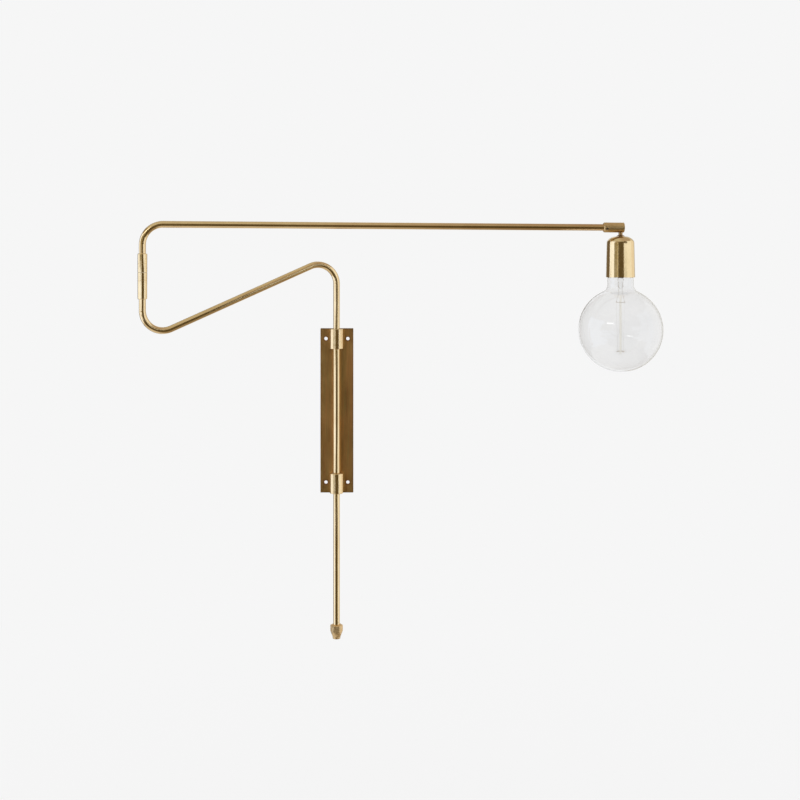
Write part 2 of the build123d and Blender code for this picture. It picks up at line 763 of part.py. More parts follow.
shell_top = floor_bottom - shell_drop
shell_root = shell_crest_radius + thread_depth
inner_edge = rolled_edge(shell_root, thread_depth, shell_top, shell_length)
outer_edge = [(radius + shell_wall, height) for radius, height in reversed(inner_edge)]
save(turned(head_plane, inner_edge + outer_edge), "screw_shell")

strip_along = (-strip_half, strip_half)
tongue_bottom = floor_bottom - strip_thickness
contact_foot = head_box((riser_place[0], terminal_place + strip_half), strip_along, floor_top, foot_top)
contact_riser = head_box(riser_place, strip_along, tongue_bottom, foot_top)
contact_tongue = head_box((-strip_half, riser_place[1]), strip_along, tongue_bottom, floor_bottom)

with BuildPart() as centre_contact:
    add(contact_foot.part)
    add(contact_riser.part)
    add(contact_tongue.part)
    with BuildSketch(Plane(origin=lamp_point + up * tongue_bottom, z_dir=-up)):
        Circle(contact_button_diameter / 2)
    extrude(amount=contact_button_height)
    with BuildSketch(Plane(origin=screw_places[0] + up * floor_top, z_dir=up)):
        Circle(terminal_hole_radius)
    extrude(amount=strip_thickness, mode=Mode.SUBTRACT)
save(centre_contact, "centre_contact")

side_foot = head_box((leg_place[0], -terminal_place + strip_half), strip_along, floor_top, foot_top)
side_leg = head_box(leg_place, strip_along, shell_top, foot_top)

with BuildPart() as side_contact:
    add(side_foot.part)
    add(side_leg.part)
    with BuildSketch(Plane(origin=screw_places[1] + up * floor_top, z_dir=up)):
        Circle(terminal_hole_radius)
    extrude(amount=strip_thickness, mode=Mode.SUBTRACT)
save(side_contact, "side_contact")

with BuildPart() as terminal_screws:
    for place in screw_places:
        with BuildSketch(Plane(origin=place + up * foot_top, z_dir=-up)):
            Circle(terminal_screw_diameter / 2)
        extrude(amount=terminal_screw_length)
        with BuildSketch(Plane(origin=place + up * foot_top, z_dir=up)):
            Circle(terminal_head_diameter / 2)
        extrude(amount=terminal_head_height)
        with BuildSketch(Plane(origin=place + up * (foot_top + terminal_head_height), z_dir=-up)):
            Rectangle(terminal_head_diameter, terminal_screw_slot)
        extrude(amount=terminal_head_height / 2, mode=Mode.SUBTRACT)
save(terminal_screws, "terminal_screws")


# Cores of the flex: out of the arm, down the nipple and on to the terminals
core_start = -knuckle_start + knuckle_socket + joint_gap
core_height = foot_top + core_diameter / 2 + slip_gap
core_end = terminal_place - terminal_head_diameter / 2 - core_diameter / 2 - slip_gap

with BuildPart() as lamp_leads:
    for side in (1, -1):
        start = lamp_point + arm_way * core_start + front_way * side * core_offset
        corner = lamp_point + front_way * side * core_offset
        foot = corner + up * (thread_bottom - core_diameter)
        end = lamp_point + front_way * side * core_end + up * core_height
        with BuildLine() as core_path:
            FilletPolyline(start, corner, foot, end, radius=core_bend)
        with BuildSketch(Plane(origin=core_path.line @ 0, z_dir=core_path.line % 0)):
            Circle(core_diameter / 2)
        sweep(path=core_path.line)
save(lamp_leads, "lamp_leads")


# Bulb: the glass globe, its screw cap, and the stem, hooks and filament inside
contact_bottom = tongue_bottom - contact_button_height
bulb_top = contact_bottom - bulb_contact_gap
bulb_bottom = bulb_top - bulb_length
globe_radius = globe_diameter / 2
globe_centre = bulb_bottom + globe_radius
cap_bottom = bulb_top - bulb_cap_length
neck_radius = neck_diameter / 2
shoulder_top = cap_bottom - shoulder_start
neck_top = shoulder_top - shoulder_height
root_top = cap_bottom + glass_root_height

with BuildPart() as bulb_glass:
    fillet_x = neck_radius + neck_fillet
    fillet_rise = sqrt((globe_radius + neck_fillet) ** 2 - fillet_x ** 2)
    fillet_centre = Vector(fillet_x, globe_centre + fillet_rise)
    way_out = Vector(fillet_x, fillet_rise).normalized()
    edges = []
    for inset in (0, glass_wall):
        waist = neck_radius - inset
        root = glass_root_radius - inset
        ball = globe_radius - inset
        curve = neck_fillet + inset
        touch = Vector(0, globe_centre) + way_out * ball
        half_way = (Vector(-1, 0) - way_out).normalized()
        middle = fillet_centre + half_way * curve
        edges.append((waist, root, ball, touch, middle))
    with BuildSketch(head_plane):
        with BuildLine():
            for waist, root, ball, touch, middle in edges:
                bend = (root + waist) / 2
                Line((root, root_top), (root, shoulder_top))
                Spline(
                    (root, shoulder_top),
                    (bend, (shoulder_top + neck_top) / 2),
                    (waist, neck_top),
                    tangents=((0, -1), (0, -1)),
                )
                Line((waist, neck_top), (waist, fillet_centre.Y))
                ThreePointArc((waist, fillet_centre.Y), (middle.X, middle.Y), (touch.X, touch.Y))
                ThreePointArc((touch.X, touch.Y), (ball, globe_centre), (0, globe_centre - ball))
            Line((edges[0][1], root_top), (edges[1][1], root_top))
            Line((0, globe_centre - edges[0][2]), (0, globe_centre - edges[1][2]))
        make_face()
    revolve(axis=cup_axis)
save(bulb_glass, "bulb_glass")

shell_upper = bulb_top - bulb_shell_top
bulb_thread_top = shell_upper - bulb_shell_shoulder
bulb_thread_length = bulb_thread_top - cap_bottom - bulb_shell_skirt
bulb_outer_edge = rolled_edge(bulb_shell_crest, thread_depth, bulb_thread_top, bulb_thread_length)
bulb_inner_edge = [(radius - bulb_shell_wall, height) for radius, height in reversed(bulb_outer_edge)]
bulb_shell_profile = [(insulator_bottom_radius, shell_upper)] + bulb_outer_edge
bulb_shell_profile += [(bulb_shell_crest, cap_bottom), (bulb_shell_crest - bulb_shell_wall, cap_bottom)]
bulb_shell_profile += bulb_inner_edge + [(insulator_bottom_radius, shell_upper - bulb_shell_wall)]
save(turned(head_plane, bulb_shell_profile), "bulb_cap_shell")

insulator_top = bulb_top - bulb_contact_height / 2
save(
    turned(
        head_plane,
        [
            (bulb_contact_radius + slip_gap, insulator_top),
            (insulator_top_radius, insulator_top),
            (insulator_bottom_radius - slip_gap, shell_upper),
            (insulator_bottom_radius - slip_gap, shell_upper - insulator_rim),
            (bulb_contact_radius + slip_gap, shell_upper - insulator_rim),
        ],
    ),
    "bulb_cap_insulator",
)

contact_edge = bulb_top - bulb_contact_height
contact_foot_height = contact_edge - bulb_contact_rim
crown = (bulb_contact_radius**2 + bulb_contact_height**2) / (2 * bulb_contact_height)
crown_turn = asin(bulb_contact_radius / crown) / 2

with BuildPart() as bulb_cap_contact:
    with BuildSketch(head_plane):
        with BuildLine():
            Polyline(
                (0, bulb_top),
                (0, contact_foot_height),
                (bulb_contact_radius, contact_foot_height),
                (bulb_contact_radius, contact_edge),
            )
            ThreePointArc(
                (bulb_contact_radius, contact_edge),
                (crown * sin(crown_turn), bulb_top - crown * (1 - cos(crown_turn))),
                (0, bulb_top),
            )
        make_face()
    revolve(axis=cup_axis)
save(bulb_cap_contact, "bulb_cap_contact")

stem_top = root_top - stem_sink
stem_waist = stem_top - stem_flare_height
press_top = stem_waist - stem_tube_length
press_bottom = press_top - press_height
rod_bottom = press_bottom - rod_length
flare_outer = glass_root_radius - glass_wall - slip_gap

stem_profile = [(flare_outer, stem_top), (stem_radius, stem_waist), (stem_radius, press_top)]
stem_profile += [(stem_radius - stem_wall, press_top), (stem_radius - stem_wall, stem_waist)]
stem_profile += [(flare_outer - stem_wall, stem_top)]
stem_tube = turned(head_plane, stem_profile)

with BuildPart() as bulb_stem:
    add(stem_tube.part)
    with BuildSketch(Plane(origin=lamp_point + up * press_bottom, x_dir=upper_way, z_dir=up)):
        SlotOverall(press_width, press_thickness)
    extrude(amount=press_height)
    with BuildSketch(Plane(origin=lamp_point + up * press_top, z_dir=-up)):
        Circle(stem_radius)
    extrude(amount=stem_wall)
    with BuildSketch(Plane(origin=lamp_point + up * rod_bottom, z_dir=up)):
        Circle(rod_diameter / 2)
    extrude(amount=rod_length)
    with Locations(lamp_point + up * rod_bottom):
        Sphere(rod_tip_diameter / 2)
save(bulb_stem, "bulb_stem")


def hook_point(index, height, turn=0.0):
    """The eye of one filament hook, spaced evenly round the rod."""
    angle = 2 * pi * (index + turn) / hook_count + radians(hook_twist)
    away = upper_way * cos(angle) + front_way * sin(angle)
    return lamp_point + away * hook_radius + up * height


upper_hook_height = press_bottom - upper_hook_drop
lower_hook_height = rod_bottom + lower_hook_rise

hooks = []
for index in range(hook_count):
    for height, turn in ((upper_hook_height, 0.0), (lower_hook_height, 0.5)):
        eye = hook_point(index, height, turn)
        root = lamp_point + up * height
        inner = root + (eye - root) * (rod_diameter / 2 + slip_gap) / hook_radius
        hooks.append(wire_run([inner, eye], hook_wire))

with BuildPart() as bulb_supports:
    for hook in hooks:
        add(hook.part)
save(bulb_supports, "bulb_supports")

lead_side = press_width / 2 - press_thickness / 2

leads = []
for side, index in ((1, 0), (-1, 2)):
    top = lamp_point + upper_way * side * lead_side + up * (press_bottom - slip_gap)
    end = hook_point(index, upper_hook_height) + up * (hook_wire / 2 + lead_wire / 2 + slip_gap)
    leads.append(wire_run([top, end], lead_wire))

with BuildPart() as bulb_lead_wires:
    for lead in leads:
        add(lead.part)
save(bulb_lead_wires, "bulb_lead_wires")

filament_gap = hook_wire / 2 + filament_wire / 2 + slip_gap

strands = []
for index in range(hook_count):
    strands.append(hook_point(index, upper_hook_height) - up * filament_gap)
    strands.append(hook_point(index, lower_hook_height, 0.5) + up * filament_gap)
save(wire_run(strands, filament_wire), "bulb_filament")

print("mount axis", mount_point)
print("elbow axis", elbow_point)
print("lamp axis", lamp_point)
print("arm direction", arm_way)
print("gland from", gland_bottom, "to", gland_top)
print("elbow from", elbow_bottom, "to", elbow_top, "turning at", pivot_height)
print("cup from", lamp_point.Z + cup_mouth, "to", lamp_point.Z + cup_top)
print("bulb from", lamp_point.Z + bulb_bottom, "to", lamp_point.Z + bulb_top)
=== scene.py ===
# %% [markdown]
# # A swing arm wall lamp in brass
# The lamp is already built as a solid model: every piece has its true size and its true place. That model
# is the frame of this scene. Blender adds what a solid model lacks: soft edges, the grain left by drawing
# and turning, tarnish, glass, light and a camera. The frame is loaded first and is never moved.

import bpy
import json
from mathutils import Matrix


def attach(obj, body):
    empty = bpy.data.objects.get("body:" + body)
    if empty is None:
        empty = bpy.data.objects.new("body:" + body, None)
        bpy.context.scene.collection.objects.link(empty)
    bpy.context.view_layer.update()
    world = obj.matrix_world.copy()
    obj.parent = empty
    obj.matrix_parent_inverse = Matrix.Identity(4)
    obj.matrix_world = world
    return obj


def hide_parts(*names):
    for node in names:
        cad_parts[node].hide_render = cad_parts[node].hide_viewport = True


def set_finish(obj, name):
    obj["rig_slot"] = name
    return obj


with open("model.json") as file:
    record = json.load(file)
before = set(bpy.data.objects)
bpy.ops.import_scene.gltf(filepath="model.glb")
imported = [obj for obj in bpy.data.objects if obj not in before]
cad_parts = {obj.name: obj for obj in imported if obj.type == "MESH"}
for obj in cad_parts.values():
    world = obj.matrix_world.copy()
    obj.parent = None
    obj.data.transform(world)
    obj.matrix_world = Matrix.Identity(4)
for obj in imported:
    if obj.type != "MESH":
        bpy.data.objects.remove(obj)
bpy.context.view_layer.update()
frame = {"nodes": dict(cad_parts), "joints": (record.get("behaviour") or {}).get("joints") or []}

# %% [markdown]
# ## Where the lamp's axes are
# The lamp moves on four axes, and most of its round pieces are centred on one of them. The joints of the
# frame say where they are, so nothing here has to be measured by hand.

# %% Read the axes from the joints
import json
import math

import bmesh
import bpy
from mathutils import Matrix, Vector

MM = 0.001
UP = Vector((0, 0, 1))
joints = {joint["name"]: joint for joint in frame["joints"]}
mount_axis = Vector(joints["arm_swing"]["pos_m"])
elbow_axis = Vector(joints["elbow_swing"]["pos_m"])
lamp_point = Vector(joints["head_roll"]["pos_m"])
arm_way = Vector(joints["head_roll"]["axis"]).normalized()
mount_foot = Vector((mount_axis.x, mount_axis.y, 0))
elbow_foot = Vector((elbow_axis.x, elbow_axis.y, 0))
lamp_foot = Vector((lamp_point.x, lamp_point.y, 0))
upper_way = (lamp_foot - elbow_foot).normalized()
front_way = upper_way.cross(UP)
print("arm swings at", mount_foot, "elbow at", elbow_foot, "lamp hangs at", lamp_point)

# %% [markdown]
# ## From a bmesh to a piece of the lamp
# Every new piece ends the same way. Doubled vertices are merged, faces are turned outwards, sharp corners
# stay sharp and the rest is shaded smooth. The Weighted Normal modifier lets large faces win over small
# ones, so that a narrow rounded edge doesn't bend the reflections beside it. Then the piece is attached to
# the body of the lamp it moves with, the solids it replaces are hidden, and it is given its finish slot.

# %% A helper that finishes a piece
MERGE = 0.002 * MM
pieces_made = []


def finish_piece(bm, name, body, slot, *nodes, sharp=40.0, weighted=True):
    """Turns a bmesh into an object that rides on a body and stands for CAD nodes."""
    bmesh.ops.remove_doubles(bm, verts=bm.verts, dist=MERGE)
    bmesh.ops.recalc_face_normals(bm, faces=bm.faces)
    mesh = bpy.data.meshes.new(name)
    bm.to_mesh(mesh)
    bm.free()
    mesh.shade_smooth()
    mesh.set_sharp_from_angle(angle=math.radians(sharp))
    piece = bpy.data.objects.new(name, mesh)
    bpy.context.scene.collection.objects.link(piece)
    if weighted:
        piece.modifiers.new("large faces first", "WEIGHTED_NORMAL").keep_sharp = True
    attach(piece, body)
    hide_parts(*nodes)
    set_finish(piece, slot)
    pieces_made.append(piece)
    print(name, "has", len(mesh.vertices), "vertices and", len(mesh.polygons), "faces")
    return piece


# %% [markdown]
# ## Soft edges and sheet thickness
# The corners of an outline are rounded by the bevel operator, before the outline is spun or extruded. Two
# things are left to modifiers, because they treat a whole piece alike: rounding every hard edge, and
# giving a single skin the thickness of its sheet. A piece that gets either has true normals already, so it
# does without the Weighted Normal modifier.

# %% Helpers that round and thicken
def round_corners(bm, verts, size, segments):
    """Rounds corners of a flat outline and returns the vertices that take their place."""
    return bmesh.ops.bevel(
        bm, geom=verts, offset=size, affect="VERTICES", segments=segments, profile=0.5, material=-1
    )["verts"]


def soften(piece, label, width):
    """Rounds every hard edge of a piece."""
    rounding = piece.modifiers.new(label, "BEVEL")
    rounding.width, rounding.segments = width, 3
    rounding.limit_method, rounding.angle_limit = "ANGLE", math.radians(60)
    rounding.harden_normals = True


def thicken(piece, label, thickness):
    """Gives a skin its thickness, inwards."""
    wall = piece.modifiers.new(label, "SOLIDIFY")
    wall.thickness, wall.offset = thickness, -1


# %% [markdown]
# ## The wall plate
# A flat strip of brass, 51 by 255 mm and 3 mm thick, cut from sheet. It has four holes for wall screws and
# four countersunk holes behind, for the screws that hold the collars. A cube with Boolean holes would do,
# but it leaves hard rims. Here the front is drawn as flat edges and filled once, and one extrusion gives
# the outline and all the holes their walls together, so a bevel can run round every rim.

# %% Draw the front of the plate and its holes
PLATE_WIDTH, PLATE_HEIGHT, PLATE_THICK = 51 * MM, 255 * MM, 3 * MM
PLATE_CORNER, PLATE_RIM = 0.8 * MM, 0.35 * MM
WALL_HOLE, WALL_HOLES_X, WALL_HOLES_Z = 2.75 * MM, 34 * MM, 223 * MM
SCREW_HOLE, SCREW_SINK, SINK_DEPTH = 2.05 * MM, 4.0 * MM, 1.95 * MM
SCREW_HEIGHTS = [height * MM for height in (121.0, 103.0, -101.8, -119.8)]
TO_FRONT = Matrix.Rotation(math.radians(90), 4, "X")


def hole_ring(bm, x, z, radius, sides=40):
    """Draws a round hole's rim in the front face of the plate."""
    place = Matrix.Translation((x, -PLATE_THICK, z)) @ TO_FRONT
    bmesh.ops.create_circle(bm, segments=sides, radius=radius, matrix=place)


bm = bmesh.new()
half_width, half_height = PLATE_WIDTH / 2, PLATE_HEIGHT / 2
corners = [
    bm.verts.new((x * half_width, -PLATE_THICK, z * half_height))
    for x, z in ((-1, -1), (1, -1), (1, 1), (-1, 1))
]
bm.faces.new(corners)
round_corners(bm, corners, PLATE_CORNER, segments=5)
bmesh.ops.delete(bm, geom=list(bm.faces), context="FACES_ONLY")
for x in (-1, 1):
    for z in (-1, 1):
        hole_ring(bm, x * WALL_HOLES_X / 2, z * WALL_HOLES_Z / 2, WALL_HOLE)
for height in SCREW_HEIGHTS:
    hole_ring(bm, 0, height, SCREW_HOLE)
bmesh.ops.triangle_fill(bm, edges=bm.edges, use_beauty=True, normal=(0, -1, 0))
print("front of the plate:", len(bm.faces), "triangles")

# %% Give the plate its thickness, countersinks and soft rims
made = bmesh.ops.extrude_face_region(bm, geom=list(bm.faces), use_keep_orig=True)["geom"]
middle = [item for item in made if isinstance(item, bmesh.types.BMVert)]
bmesh.ops.translate(bm, vec=(0, PLATE_THICK - SINK_DEPTH, 0), verts=middle)
made = bmesh.ops.extrude_face_region(
    bm, geom=[item for item in made if isinstance(item, bmesh.types.BMFace)]
)["geom"]
back = [item for item in made if isinstance(item, bmesh.types.BMVert)]
bmesh.ops.translate(bm, vec=(0, SINK_DEPTH, 0), verts=back)
for height in SCREW_HEIGHTS:
    centre = Vector((0, 0, height))
    ring = [vert for vert in back if (vert.co - centre).length < SCREW_HOLE * 1.01]
    bmesh.ops.scale(
        bm, vec=(SCREW_SINK / SCREW_HOLE, 1, SCREW_SINK / SCREW_HOLE),
        space=Matrix.Translation(-centre), verts=ring,
    )
plate = finish_piece(
    bm, "plate_with_soft_edges", "wall_bracket", "aged_brass", "wall_plate", weighted=False
)
soften(plate, "soft rims", PLATE_RIM)
print("plate is", [round(x * 1000, 2) for x in plate.dimensions], "mm")

# %% [markdown]
# ## Round pieces: a profile and a spin
# Anything made on a lathe is one outline turned round an axis. The outline is drawn with a few corners,
# they are rounded as a file would round them, and the spin operator turns the outline into a body.
# Rounding the outline before the spin is cheaper and cleaner than bevelling the finished ring.

# %% A helper that turns a profile
def turned_profile(bm, foot, corners, rounding, sides=96, segments=4):
    """Spins a closed outline of (radius, height) corners, in millimetres, round an upright axis."""
    verts = [bm.verts.new(foot + Vector((radius * MM, 0, height * MM))) for radius, height in corners]
    bm.faces.new(verts)
    for index, size in sorted(rounding.items()):
        round_corners(bm, [verts[index]], size * MM, segments)
    bmesh.ops.delete(bm, geom=list(bm.faces), context="FACES_ONLY")
    bmesh.ops.spin(
        bm, geom=bm.verts[:] + bm.edges[:], cent=foot, axis=UP, angle=2 * math.pi,
        steps=sides, use_merge=True,
    )


# %% [markdown]
# ## The elbow
# Two sleeves hold the ends of the bent tubes, and two short rings between them turn on a hollow spindle.
# On the real lamp they read as one bar with three bright seams. Each section is its own ring here, because
# the lower two stay with the lower arm while the upper two swing. Their outer ends are rounded well, and
# the edges at the seams only a little, which is what makes a seam catch a thin line of light.

# %% Turn the four sections of the elbow
ELBOW_RADIUS, TUBE_SOCKET, SPINDLE_BORE = 6.9, 5.05, 3.95
END_ROUND, SEAM_ROUND = 1.2, 0.18
LOWER_END, LOWER_STOP, LOWER_SEAM, TURN_LOW = 176.9, 200.0, 204.5, 215.9
TURN_HIGH, UPPER_SEAM, UPPER_STOP, UPPER_END = 216.3, 229.4, 235.0, 243.8


def ring_profile(low, high):
    """The outline of a ring between two seams, and the rounding of its outer corners."""
    corners = [(SPINDLE_BORE, low), (ELBOW_RADIUS, low), (ELBOW_RADIUS, high), (SPINDLE_BORE, high)]
    return corners, {1: SEAM_ROUND, 2: SEAM_ROUND}


def sleeve_profile(end, stop, seam):
    """The outline of a sleeve, in which a tube sits from the end to the stop."""
    corners = [
        (TUBE_SOCKET, end), (ELBOW_RADIUS, end), (ELBOW_RADIUS, seam), (SPINDLE_BORE, seam),
        (SPINDLE_BORE, stop), (TUBE_SOCKET, stop),
    ]
    return corners, {1: END_ROUND, 2: SEAM_ROUND}


elbow_sections = {
    "elbow_lower_sleeve": ("lower_arm", sleeve_profile(LOWER_END, LOWER_STOP, LOWER_SEAM)),
    "elbow_lower_ring": ("lower_arm", ring_profile(LOWER_SEAM, TURN_LOW)),
    "elbow_upper_ring": ("upper_arm", ring_profile(TURN_HIGH, UPPER_SEAM)),
    "elbow_upper_sleeve": ("upper_arm", sleeve_profile(UPPER_END, UPPER_STOP, UPPER_SEAM)),
}
for node, (body, (corners, rounding)) in elbow_sections.items():
    bm = bmesh.new()
    turned_profile(bm, elbow_foot, corners, rounding)
    finish_piece(bm, node + "_turned", body, "tube_brass", node)

# %% [markdown]
# ## The gland nut
# A hexagon that runs out into a round lip, at the lower end of the upright tube. The cord would enter here.
# One could cut a hexagon with a cone, but then the taper has no edges to soften. Here each level is a ring
# with the same number of vertices, six-sided above and round below, and the rings are bridged in turn. The
# corners of the hexagon are rounded before that, because a worn corner is what catches the light.

# %% Bridge the rings of the gland nut
GLAND_TOP, ACROSS_FLATS, CORNER_ROUND = -329.6, 17.0, 0.6
HEXAGON_RINGS = [(GLAND_TOP, 0.7), (GLAND_TOP - 0.6, 0.0), (-338.9, 0.0), (-339.6, 0.3)]
TAPER_RINGS = [(-341.4, 8.45), (-343.6, 7.7), (-346.6, 6.5), (-347.7, 6.2)]
LIP_RINGS = [(-348.0, 5.6), (-349.3, 5.6), (-349.6, 6.0), (-350.4, 5.9), (-350.7, 5.4)]
BORE_RINGS = [(-350.7, 4.0), (-348.9, 4.0), (-348.7, 5.05), (GLAND_TOP - 0.1, 5.05)]
GLAND_SIDES = 48


def gland_place(height):
    """Where a ring lies. It is turned so that a flat of the hexagon faces the camera."""
    return Matrix.Translation(mount_foot + UP * height * MM) @ Matrix.Rotation(math.radians(30), 4, "Z")


def hexagon_ring(bm, height, drawn_in):
    """A six-sided ring with rounded corners, drawn in a little where the edge is chamfered."""
    radius = (ACROSS_FLATS / math.sqrt(3) - drawn_in) * MM
    ring = bmesh.ops.create_circle(bm, segments=6, radius=radius, matrix=gland_place(height))["verts"]
    ring = round_corners(bm, ring, CORNER_ROUND * MM, segments=3)
    edges = {edge for vert in ring for edge in vert.link_edges}
    flats = [edge for edge in edges if edge.calc_length() > 2 * CORNER_ROUND * MM]
    bmesh.ops.subdivide_edges(bm, edges=flats, cuts=4)


def round_ring(bm, height, radius):
    """A round ring with as many vertices as the hexagon has."""
    bmesh.ops.create_circle(bm, segments=GLAND_SIDES, radius=radius * MM, matrix=gland_place(height))


bm = bmesh.new()
levels = []
for make, rings in ((hexagon_ring, HEXAGON_RINGS), (round_ring, TAPER_RINGS + LIP_RINGS + BORE_RINGS)):
    for height, size in rings:
        known = set(bm.edges)
        make(bm, height, size)
        levels.append([edge for edge in bm.edges if edge not in known])
print("vertices in each ring:", [len(level) for level in levels])
for upper, lower in zip(levels, levels[1:] + levels[:1]):
    bmesh.ops.bridge_loops(bm, edges=upper + lower)
finish_piece(bm, "gland_bridged_nut", "lower_arm", "turned_brass", "gland_nut", sharp=35)

# %% [markdown]
# ## The bent tubes
# Both arms are 10 mm brass tube with a 1 mm wall, bent on a former of 30 mm radius. A tube bender works
# from straight runs and turns, and so does this: a ring of edges is extruded along each run and spun
# round each bend. A curve with a bevel would be quicker, but the rings can also carry an attribute,
# "straight", which says where each vertex would lie if the tube were straight again. The brushed grain
# of the brass is drawn on that, so it follows the metal round the bends as it does on the real tube.

# %% Helpers that draw a wire or a tube
def ring_at(bm, place, way, side, radius, sides):
    """A ring of edges square to the way a tube sets off."""
    turn = Matrix((side, way.cross(side), way)).transposed().to_4x4()
    made = bmesh.ops.create_circle(
        bm, segments=sides, radius=radius, matrix=Matrix.Translation(place) @ turn
    )
    return list({edge for vert in made["verts"] for edge in vert.link_edges})


def edges_and_verts(geometry):
    """Splits what an operator made into its edges and its vertices."""
    edges = [item for item in geometry if isinstance(item, bmesh.types.BMEdge)]
    verts = [item for item in geometry if isinstance(item, bmesh.types.BMVert)]
    return edges, verts


def remember(vert, layer, length):
    """Notes how far along the tube a vertex lies."""
    across = vert[layer]
    vert[layer] = (across.x, across.y, length)


def draw_skin(bm, corners, bend, radius, sides, bend_steps, layer=None):
    """Extrudes a ring along straight runs and spins it at the corners. Returns its two end rings."""
    ways = [(b - a).normalized() for a, b in zip(corners, corners[1:])]
    normal = ways[0].cross(ways[1]).normalized()
    ring = first = ring_at(bm, corners[0], ways[0], normal, radius, sides)
    here, travelled = corners[0], 0.0
    if layer:
        for vert in {v for edge in ring for v in edge.verts}:
            off = vert.co - here
            vert[layer] = (off.dot(normal.cross(ways[0])), off.dot(normal), 0.0)
    for index, way in enumerate(ways):
        last = index == len(ways) - 1
        turn = 0.0 if last else way.angle(ways[index + 1])
        stop = corners[index + 1] - way * (bend * math.tan(turn / 2))
        made = bmesh.ops.extrude_edge_only(bm, edges=ring)["geom"]
        ring, verts = edges_and_verts(made)
        bmesh.ops.translate(bm, vec=stop - here, verts=verts)
        travelled += (stop - here).length
        if layer:
            for vert in verts:
                remember(vert, layer, travelled)
        here = stop
        if last:
            return first, ring
        axis = way.cross(ways[index + 1]).normalized()
        centre = here + axis.cross(way) * bend
        before = set(bm.verts)
        made = bmesh.ops.spin(
            bm, geom=ring, cent=centre, axis=axis, angle=turn, steps=bend_steps
        )["geom_last"]
        ring = edges_and_verts(made)[0]
        if layer:
            for vert in set(bm.verts) - before:
                out = vert.co - centre
                out -= axis * out.dot(axis)
                remember(vert, layer, travelled + out.angle(here - centre) * bend)
        travelled += turn * bend
        here = centre + Matrix.Rotation(turn, 3, axis) @ (here - centre)


# %% Draw the two arms
TUBE_RADIUS, TUBE_BORE, BEND = 5 * MM, 4 * MM, 30 * MM
TUBE_FOOT, TOP_CORNER, LOW_CORNER, LOWER_TUBE_TOP = -338 * MM, 242 * MM, 115 * MM, 190.3 * MM
UPPER_TUBE_FOOT, SHORT_OF_LAMP = 235.2 * MM, 13.7 * MM
upper_reach = (lamp_foot - elbow_foot).length
slope = arm_way.z / math.hypot(arm_way.x, arm_way.y)
end_reach = upper_reach - SHORT_OF_LAMP
arm_corner = lamp_point.z - slope * upper_reach
lower_corners = [
    mount_foot + UP * TUBE_FOOT, mount_foot + UP * TOP_CORNER,
    elbow_foot + UP * LOW_CORNER, elbow_foot + UP * LOWER_TUBE_TOP,
]
upper_corners = [
    elbow_foot + UP * UPPER_TUBE_FOOT, elbow_foot + UP * arm_corner,
    elbow_foot + upper_way * end_reach + UP * (arm_corner + slope * end_reach),
]


def drawn_tube(name, body, node, corners):
    """A tube with two skins, closed at its ends, that remembers its own length."""
    bm = bmesh.new()
    layer = bm.verts.layers.float_vector.new("straight")
    ends = []
    for radius in (TUBE_RADIUS, TUBE_BORE):
        ends.append(draw_skin(bm, corners, BEND, radius, sides=64, bend_steps=40, layer=layer))
    for outer, inner in zip(*ends):
        bmesh.ops.bridge_loops(bm, edges=outer + inner)
    return finish_piece(bm, name, body, "tube_brass", node)


drawn_tube("lower_arm_drawn_tube", "lower_arm", "lower_arm_tube", lower_corners)
drawn_tube("upper_arm_drawn_tube", "upper_arm", "upper_arm_tube", upper_corners)

# %% [markdown]
# ## The cup
# A drawn and spun brass shell over the lampholder: a small flat land round the hole, a domed top, a soft
# shoulder and a side that opens very slightly towards the mouth. Only the outer line is drawn. The dome is
# one vertex spun through part of a circle, the shoulder is a rounded corner, and the Solidify modifier
# gives the sheet its millimetre of metal inwards, as a press would leave it.

# %% Spin the cup
CUP_TOP = lamp_point.z / MM - 13.3        # from the arm's axis down to the top of the cup
HOLE, LAND, SHOULDER, MOUTH = 5.05, 7.5, 20.2, 21.35
DOME_MIDDLE, SHOULDER_DROP, SHOULDER_ROUND, CUP_HEIGHT = (14.2, -1.9), 7.8, 4.0, 61.0
CUP_SHEET, LIP_ROUND = 1.0 * MM, 0.3 * MM


def circle_centre(a, b, c):
    """The centre of the circle through three flat points."""
    a, b, c = (Vector(point).to_2d() for point in (a, b, c))
    d = 2 * (a.x * (b.y - c.y) + b.x * (c.y - a.y) + c.x * (a.y - b.y))
    x = (a.dot(a) * (b.y - c.y) + b.dot(b) * (c.y - a.y) + c.dot(c) * (a.y - b.y)) / d
    y = (a.dot(a) * (c.x - b.x) + b.dot(b) * (a.x - c.x) + c.dot(c) * (b.x - a.x)) / d
    return Vector((x, y))


def head_at(radius, height):
    """A point of a lamp head profile, in metres."""
    return lamp_foot + Vector((radius * MM, 0, height * MM))


def arc_from(bm, vert, centre, angle, steps):
    """Spins one vertex of a profile round a point and returns the last one."""
    made = bmesh.ops.spin(
        bm, geom=[vert], cent=head_at(*centre), axis=(0, 1, 0), angle=angle, steps=steps
    )["geom_last"]
    return edges_and_verts(made)[1][0]


def spin_head(bm):
    """Turns an open profile of the lamp head round its upright axis."""
    bmesh.ops.spin(
        bm, geom=bm.verts[:] + bm.edges[:], cent=lamp_foot, axis=UP, angle=2 * math.pi,
        steps=128, use_merge=True,
    )


